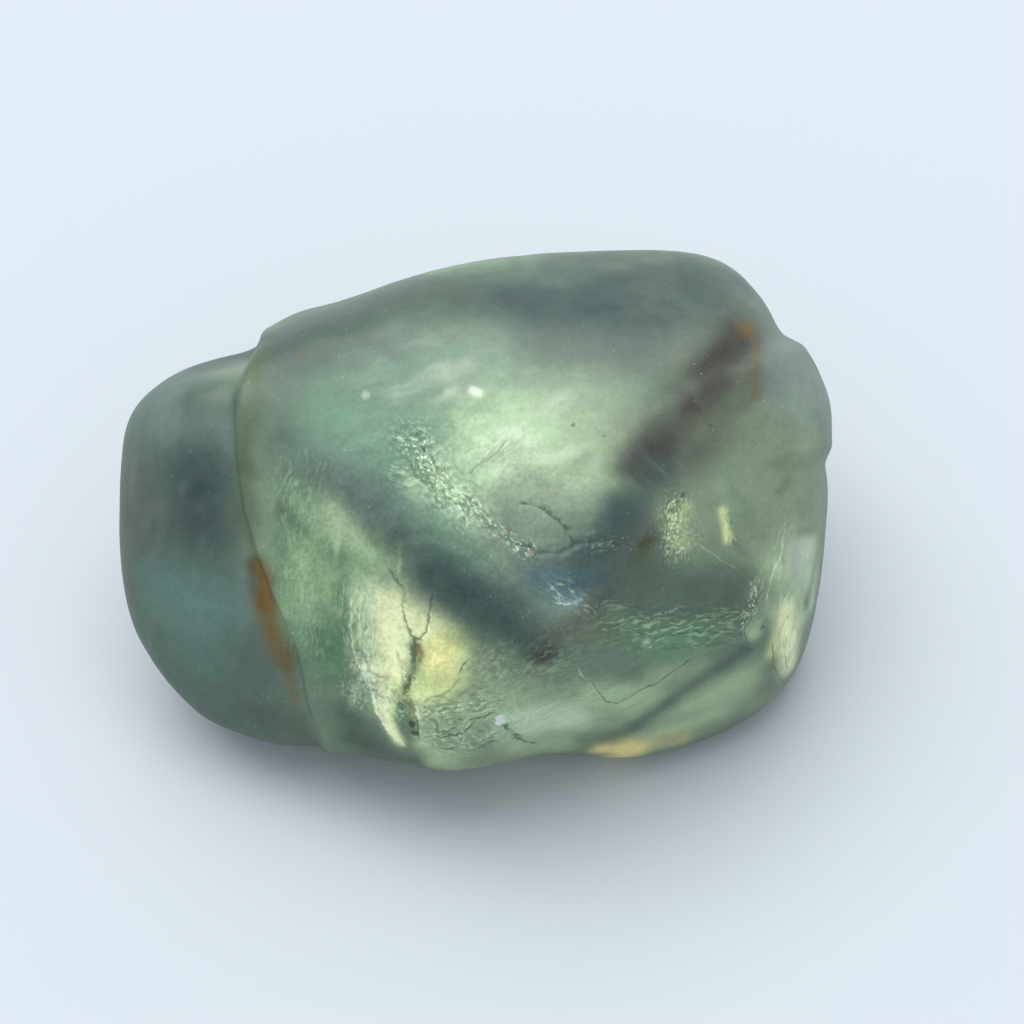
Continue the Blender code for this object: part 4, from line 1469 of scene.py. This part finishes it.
@dataclass(frozen=True)
class Fluorite:
    """Frosted, water-worn fluorite.

    Colour comes from the surface's attribute. The finish adds fine mottling, draws the
    cracks dark and paints highlights on the edges that catch the light, and breaks crumbled
    ground into white flecks lit by painted highlight, dark pits in painted shade, and painted
    glints.
    """

    roughness: float = 0.42
    broken_roughness: float = 0.22
    ior: float = 1.434
    specular: float = 0.25
    transmission: float = 0.45
    absorption: Colour = (0.60, 0.85, 0.72)
    density_per_m: float = 30.0
    clouds: tuple[float, float] = (1.4, 3.0)  # cells a mm, and detail
    grit: tuple[float, float] = (6.0, 2.0)
    chips: tuple[float, float] = (8.0, 2.0)
    mottle: float = 0.10
    mottle_levels: tuple[float, float] = (0.65, 1.35)  # of clouds and grit together
    coarse_at: tuple[float, float] = (-1.5, -3.5)
    coarse_mm: tuple[float, float] = (5.0, 4.0)  # radius and edge
    coarse_mottle: float = 0.21
    crack_tint: Colour = shown(48, 74, 54)
    edge_tint: Colour = shown(240, 252, 214)
    ragged: float = 0.55  # in half widths of a crack
    ragged_levels: tuple[float, float] = (0.3, 0.7)  # of the grit
    line: Rise = Rise(1.6, 0.3)  # in half widths from the crack's middle
    line_outside: Rise = Rise(0.20, 0.08)  # in mm from its half width
    thinning: tuple[float, float] = (0.35, 0.55)  # of the clouds
    thinned: float = 0.5
    # Flecks: whitish broken grains, lighter on the chips' raised bits, which is partly painted highlight.
    fleck_highlight_tint: Colour = shown(216, 240, 196)
    glint_and_dust_tint: Colour = shown(244, 250, 232)
    # Pits: darker in the chips' hollows, which is painted shade.
    pit_shade_tint: Colour = shown(56, 88, 70)
    pits: Rise = Rise(0.50, 0.34, 0.45)  # of the chips
    flecks: Rise = Rise(0.48, 0.70, 0.8)  # of the chips
    sparkle: Rise = Rise(0.3, 0.9, 0.8)  # of the sparks, the painted glints
    dusty: Rise = Rise(0.5, 0.62, 0.3)  # of the clouds
    sparks: tuple[float, float] = (4.5, 0.16)  # the painted glints: cells a mm, and radius over cell
    dust: tuple[float, float] = (3.4, 0.07)
    speck_ruffle: tuple[float, float] = (5.0, 0.2)  # cells a mm, and mm
    plain_bump: float = 0.06
    bump_m: float = 0.00005
    specks: tuple[Speck, ...] = (
        Speck(Tint.COCOA, 0.6, 0.06, ((1.02, -0.98), (2.16, -1.65), (1.26, -0.83)), 0.12),
        Speck(Tint.GINGER, 0.6, 0.05, ((-2.37, -5.5), (-2.33, -5.78)), 0.14),
        Speck(Tint.GINGER, 0.5, 0.05, ((-0.85, -8.65),), 0.12),
        Speck(Tint.OLIVE, 0.7, 0.05, ((-0.65, -8.48),), 0.08),
        Speck(Tint.SOOT, 0.6, 0.035, ((3.84, 3.33), (9.32, 3.35), (8.02, 0.32)), 0.08),
        Speck(Tint.SOOT, 0.6, 0.05, ((11.82, -4.86), (8.22, 0.56)), 0.10),
        Speck(Tint.SOOT, 0.6, 0.03,
            ((0.0, 3.61), (10.26, -0.56), (5.03, 2.89), (8.03, -0.52)), 0.06),
        Speck(Tint.SOOT, 0.8, 0.10, ((-2.6, -8.75), (-2.49, -9.13)), 0.10),
        Speck(Tint.CHALK, 1.0, 0.20, ((0.97, -8.43), (0.97, -8.61)), 0.04),
        Speck(Tint.MILK, 0.55, 0.06, ((-0.12, 4.69), (0.08, 4.61)), 0.22),
        Speck(Tint.MILK, 0.3, 0.05, ((-4.38, 4.53), (6.8, -5.36)), 0.22),
        Speck(Tint.RUST, 0.4, 0.05, ((-7.04, 6.12),), 0.16),
    )

    def build(self, form: StoneForm) -> bpy.types.Material:
        """Makes the material: plain transmission and absorption, and a layered colour.

        Args:
            form: the form that the specks are laid on.

        Returns:
            The material.
        """
        material = bpy.data.materials.new("frosted_fluorite")
        material.use_nodes = True
        nodes = NodeBoard(material.node_tree)
        # The surface's colour, with its painted glow, glints and rim shade.
        colour = nodes.attribute("mineral_colour_and_painted_light", "Color")
        place = nodes.place()
        grain = Grain(
            place,
            nodes.noise(place, *self.clouds),
            nodes.noise(place, *self.grit),
            nodes.noise(nodes.attribute("grain_at", "Vector"), *self.chips),
            nodes.attribute("crumbled", "Fac"),
        )
        colour = self.mottled(nodes, grain, colour, form)
        colour = self.broken(nodes, grain, colour)
        colour = self.cracked(nodes, grain, colour)
        colour = self.specked(nodes, grain, colour, form)
        shader = nodes.tree.nodes["Principled BSDF"]
        shader.inputs["IOR"].default_value = self.ior
        shader.inputs["Specular IOR Level"].default_value = self.specular
        shader.inputs["Transmission Weight"].default_value = self.transmission
        nodes.join(colour, shader.inputs["Base Color"])
        rough = nodes.span(grain.crumbled, 0.0, 1.0, self.roughness, self.broken_roughness)
        nodes.join(rough, shader.inputs["Roughness"])
        height = nodes.math("ADD", grain.crumbled, self.plain_bump)
        height = nodes.math("MULTIPLY", height, grain.chips)
        nodes.join(nodes.bump(height, self.bump_m), shader.inputs["Normal"])
        absorb = nodes.add("VolumeAbsorption", {"Color": self.absorption, "Density": self.density_per_m})
        output = nodes.tree.nodes["Material Output"]
        nodes.join(absorb.outputs["Volume"], output.inputs["Volume"])
        return material

    def mottled(self, nodes: NodeBoard, grain: Grain, colour: Socket, form: StoneForm) -> Socket:
        """Lightens and darkens the colour in fine patches, stronger about one place.

        Args:
            nodes: the board that takes the nodes.
            grain: the shared sockets.
            colour: the colour below.
            form: the form that the place is laid on.

        Returns:
            The mottled colour.
        """
        level = nodes.math("ADD", grain.clouds, grain.grit)
        level = nodes.span(level, *self.mottle_levels, -1.0, 1.0)
        middle = SIGHT.out_of(Trace((self.coarse_at,)).laid(form))[0]
        near = nodes.spot(grain.place, middle, *self.coarse_mm)
        amount = nodes.span(near, 0.0, 1.0, self.mottle, self.coarse_mottle)
        level = nodes.math("ADD", nodes.math("MULTIPLY", level, amount), 1.0)
        return nodes.scale(colour, level)

    def broken(self, nodes: NodeBoard, grain: Grain, colour: Socket) -> Socket:
        """Breaks the crumbled ground into pits in painted shade, flecks with painted highlight and
        sparks that are painted glints, and dusts the rest.

        Args:
            nodes: the board that takes the nodes.
            grain: the shared sockets.
            colour: the colour below.

        Returns:
            The colour with them on it.
        """
        # Painted shade in the chips' hollows.
        pits = nodes.math("MULTIPLY", nodes.rise(grain.chips, self.pits), grain.crumbled)
        colour = nodes.mix(colour, self.pit_shade_tint, pits)
        # Whitish flecks on the chips' raised bits, with painted highlight.
        flecks = nodes.math("MULTIPLY", nodes.rise(grain.chips, self.flecks), grain.crumbled)
        colour = nodes.mix(colour, self.fleck_highlight_tint, flecks)
        # Painted glints.
        sparks = nodes.math("MULTIPLY", nodes.dots(grain.place, *self.sparks), grain.crumbled)
        colour = nodes.mix(colour, self.glint_and_dust_tint, nodes.rise(sparks, self.sparkle))
        # Dust over the rest, in the same tint as the glints.
        patches = nodes.rise(grain.clouds, self.dusty)
        dust = nodes.math("MULTIPLY", nodes.dots(grain.place, *self.dust), patches)
        return nodes.mix(colour, self.glint_and_dust_tint, dust)

    def cracked(self, nodes: NodeBoard, grain: Grain, colour: Socket) -> Socket:
        """Draws the cracks dark and the edges that catch the light bright.

        A crack's signed distance, in half widths, is made ragged by the grit, and a line is
        kept where it is small. It thins out where the clouds are low.

        Args:
            nodes: the board that takes the nodes.
            grain: the shared sockets.
            colour: the colour below.

        Returns:
            The colour with the lines on it.
        """
        side, outside, strength = nodes.parts(nodes.attribute("crack", "Vector"))
        ragged = nodes.span(grain.grit, *self.ragged_levels, -1.0, 1.0)
        ragged = nodes.math("MULTIPLY", ragged, self.ragged)
        away = nodes.math("ABSOLUTE", nodes.math("ADD", side, ragged), 0.0)
        drawn = nodes.math("MULTIPLY", nodes.rise(away, self.line), strength)
        drawn = nodes.math("MULTIPLY", drawn, nodes.rise(outside, self.line_outside))
        thinned = nodes.span(grain.clouds, *self.thinning, self.thinned, 1.0)
        drawn = nodes.math("MULTIPLY", drawn, thinned)
        colour = nodes.mix(colour, self.crack_tint, nodes.rise(drawn, Rise(0.0, 1.0)))
        return nodes.mix(colour, self.edge_tint, nodes.rise(drawn, Rise(0.0, -1.0)))

    def specked(self, nodes: NodeBoard, grain: Grain, colour: Socket, form: StoneForm) -> Socket:
        """Sets the specks on the colour, each with a ruffled edge.

        Args:
            nodes: the board that takes the nodes.
            grain: the shared sockets.
            colour: the colour below.
            form: the form that the specks are laid on.

        Returns:
            The colour with the specks on it.
        """
        per_mm, ruffle_mm = self.speck_ruffle
        ruffle = nodes.scale(nodes.noise_vector(grain.place, per_mm), ruffle_mm)
        place = nodes.shift(grain.place, ruffle)
        for speck in self.specks:
            for middle in SIGHT.out_of(Trace(speck.points).laid(form)):
                spot = nodes.spot(place, middle, speck.radius_mm, speck.edge_mm)
                colour = nodes.mix(colour, speck.tint.value, nodes.math("MULTIPLY", spot, speck.strength))
        return colour


@dataclass(frozen=True)
class Stone:
    """The fluorite octahedron."""

    form: StoneForm = StoneForm()
    grid: SphereGrid = SphereGrid()
    damage: Damage = Damage()
    markings: Markings = Markings()
    finish: Fluorite = Fluorite()
    least_fall: float = 1e-9

    def build(self) -> bpy.types.Object:
        """Works out the surface and its colours, and cuts it flat where it rests.

        Each direction's distance is the form's plus the damage's, and no more than the
        heart's height over the direction's fall, which is where the ray meets the ground.
        No place is let outside the CAD's box, which the finer surface could pass by a hair.

        Returns:
            The stone's object.
        """
        directions, quads = self.grid.build()
        distance = self.form.distance(directions)
        sight = (directions * distance[:, None]) @ SIGHT.axes().T
        relief, crack, crumbled, grain = self.damage.work(self.form, sight)
        fall = np.clip(-directions[:, 2], self.least_fall, None)
        distance = np.minimum(distance + relief, SIGHT.heart_mm[2] / fall)
        places = directions * distance[:, None]
        mesh = bpy.data.meshes.new("fluorite_stone")
        mesh.vertices.add(len(places))
        places = np.clip(SIGHT.world(places), *cad_box)
        mesh.vertices.foreach_set("co", places.astype(np.float32).ravel())
        mesh.loops.add(quads.size)
        mesh.loops.foreach_set("vertex_index", quads.astype(np.int32).ravel())
        mesh.polygons.add(len(quads))
        mesh.polygons.foreach_set("loop_start", np.arange(0, quads.size, 4, dtype=np.int32))
        mesh.update(calc_edges=True)
        mesh.validate()
        mesh.shade_smooth()
        # The crystal's colours, with painted glow, glints and rim shade.
        colour = self.markings.colour(self.form, sight)
        with_alpha = np.concatenate([colour, np.ones((len(colour), 1))], axis=1)
        self.carry(mesh, "mineral_colour_and_painted_light", "FLOAT_COLOR", "color", with_alpha)
        self.carry(mesh, "crack", "FLOAT_VECTOR", "vector", crack)
        self.carry(mesh, "grain_at", "FLOAT_VECTOR", "vector", grain)
        self.carry(mesh, "crumbled", "FLOAT", "value", crumbled)
        mesh.materials.append(self.finish.build(self.form))
        stone = bpy.data.objects.new("fluorite_stone", mesh)
        bpy.context.scene.collection.objects.link(stone)
        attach(stone, "root")
        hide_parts(STONE_NODE)
        return stone

    @staticmethod
    def carry(mesh: bpy.types.Mesh, name: str, kind: str, member: str, values: Array) -> None:
        """Writes one value a point on the mesh, as an attribute."""
        layer = mesh.attributes.new(name, kind, "POINT")
        layer.data.foreach_set(member, values.astype(np.float32).ravel())


@dataclass(frozen=True)
class Studio:
    """The paper, the light and the camera."""

    paper_mm: float = 1200.0
    paper_drop_mm: float = 0.03
    paper_colour: Colour = (0.325, 0.347, 0.366)
    paper_roughness: float = 0.9
    sky_colour: Colour = (0.88, 0.94, 1.0)
    sky_strength: float = 1.3
    window_at_m: tuple[float, float, float] = (-0.20, 0.30, 1.14)
    window_size_m: float = 1.2
    window_energy_w: float = 22.5
    camera_distance_mm: float = 120.0
    lens_mm: float = 100.0
    sensor_mm: float = 36.0
    clip_m: tuple[float, float] = (0.005, 10.0)
    heart_pixel: tuple[float, float] = (476.0, 509.0)
    image_pixels: float = 1024.0

    def paper(self) -> bpy.types.Object:
        """Lays a flat sheet under the stone.

        Returns:
            The sheet's object.
        """
        half, low = self.paper_mm / 2 * MM, -self.paper_drop_mm * MM
        corners = [(-half, -half, low), (half, -half, low), (half, half, low), (-half, half, low)]
        mesh = bpy.data.meshes.new("paper")
        mesh.from_pydata(corners, [], [(0, 1, 2, 3)])
        material = bpy.data.materials.new("pale_paper")
        material.use_nodes = True
        shader = material.node_tree.nodes["Principled BSDF"]
        shader.inputs["Base Color"].default_value = (*self.paper_colour, 1.0)
        shader.inputs["Roughness"].default_value = self.paper_roughness
        mesh.materials.append(material)
        paper = bpy.data.objects.new("paper", mesh)
        bpy.context.scene.collection.objects.link(paper)
        return paper

    @staticmethod
    def stand(name: str, data: bpy.types.ID, axes: Array, place_m: Array) -> bpy.types.Object:
        """Stands a lamp or a camera in the scene, looking back along its third axis.

        Args:
            name: the object's name.
            data: the lamp or camera.
            axes: its right, its up and its back, a row each.
            place_m: where it stands.

        Returns:
            Its object.
        """
        turned = np.eye(4)
        turned[:3, :3] = np.array(axes).T
        turned[:3, 3] = place_m
        thing = bpy.data.objects.new(name, data)
        thing.matrix_world = Matrix(turned.tolist())
        bpy.context.scene.collection.objects.link(thing)
        return thing

    def light(self) -> bpy.types.Object:
        """Makes a bright sky, and a soft window overhead, a little behind and to the left.

        Returns:
            The window's lamp.
        """
        world = bpy.data.worlds.new("studio")
        world.use_nodes = True
        sky = world.node_tree.nodes["Background"]
        sky.inputs["Color"].default_value = (*self.sky_colour, 1.0)
        sky.inputs["Strength"].default_value = self.sky_strength
        bpy.context.scene.world = world
        data = bpy.data.lights.new("window", "AREA")
        data.size = self.window_size_m
        data.energy = self.window_energy_w
        place = np.array(self.window_at_m)
        back = place / np.linalg.norm(place)
        side = np.cross((0.0, 0.0, 1.0), back)
        side /= np.linalg.norm(side)
        bpy.context.scene.view_settings.view_transform = "Standard"
        return self.stand("window", data, (side, np.cross(back, side), back), place)

    def camera(self) -> bpy.types.Object:
        """Sets a long lens on the line of sight, shifted so that the heart lands on its pixel.

        Returns:
            The camera's object.
        """
        data = bpy.data.cameras.new("camera")
        data.lens = self.lens_mm
        data.sensor_width = self.sensor_mm
        middle = self.image_pixels / 2
        data.shift_x = (middle - self.heart_pixel[0]) / self.image_pixels
        data.shift_y = (self.heart_pixel[1] - middle) / self.image_pixels
        data.clip_start, data.clip_end = self.clip_m
        axes = SIGHT.axes()
        place_m = SIGHT.world(axes[2] * self.camera_distance_mm)
        camera = self.stand("camera", data, axes, place_m)
        bpy.context.scene.camera = camera
        return camera


def main() -> None:
    """Builds the studio and the stone."""
    logging.basicConfig(level=logging.INFO, format="%(message)s")
    studio = Studio()
    for thing in (studio.paper(), studio.light(), studio.camera()):
        log.info("%s: at %s", thing.name, [round(metre, 4) for metre in thing.location])
    stone = Stone().build()
    log.info("%s: %d faces, %d points", stone.name, len(stone.data.polygons), len(stone.data.vertices))


if __name__ == "__main__":
    main()
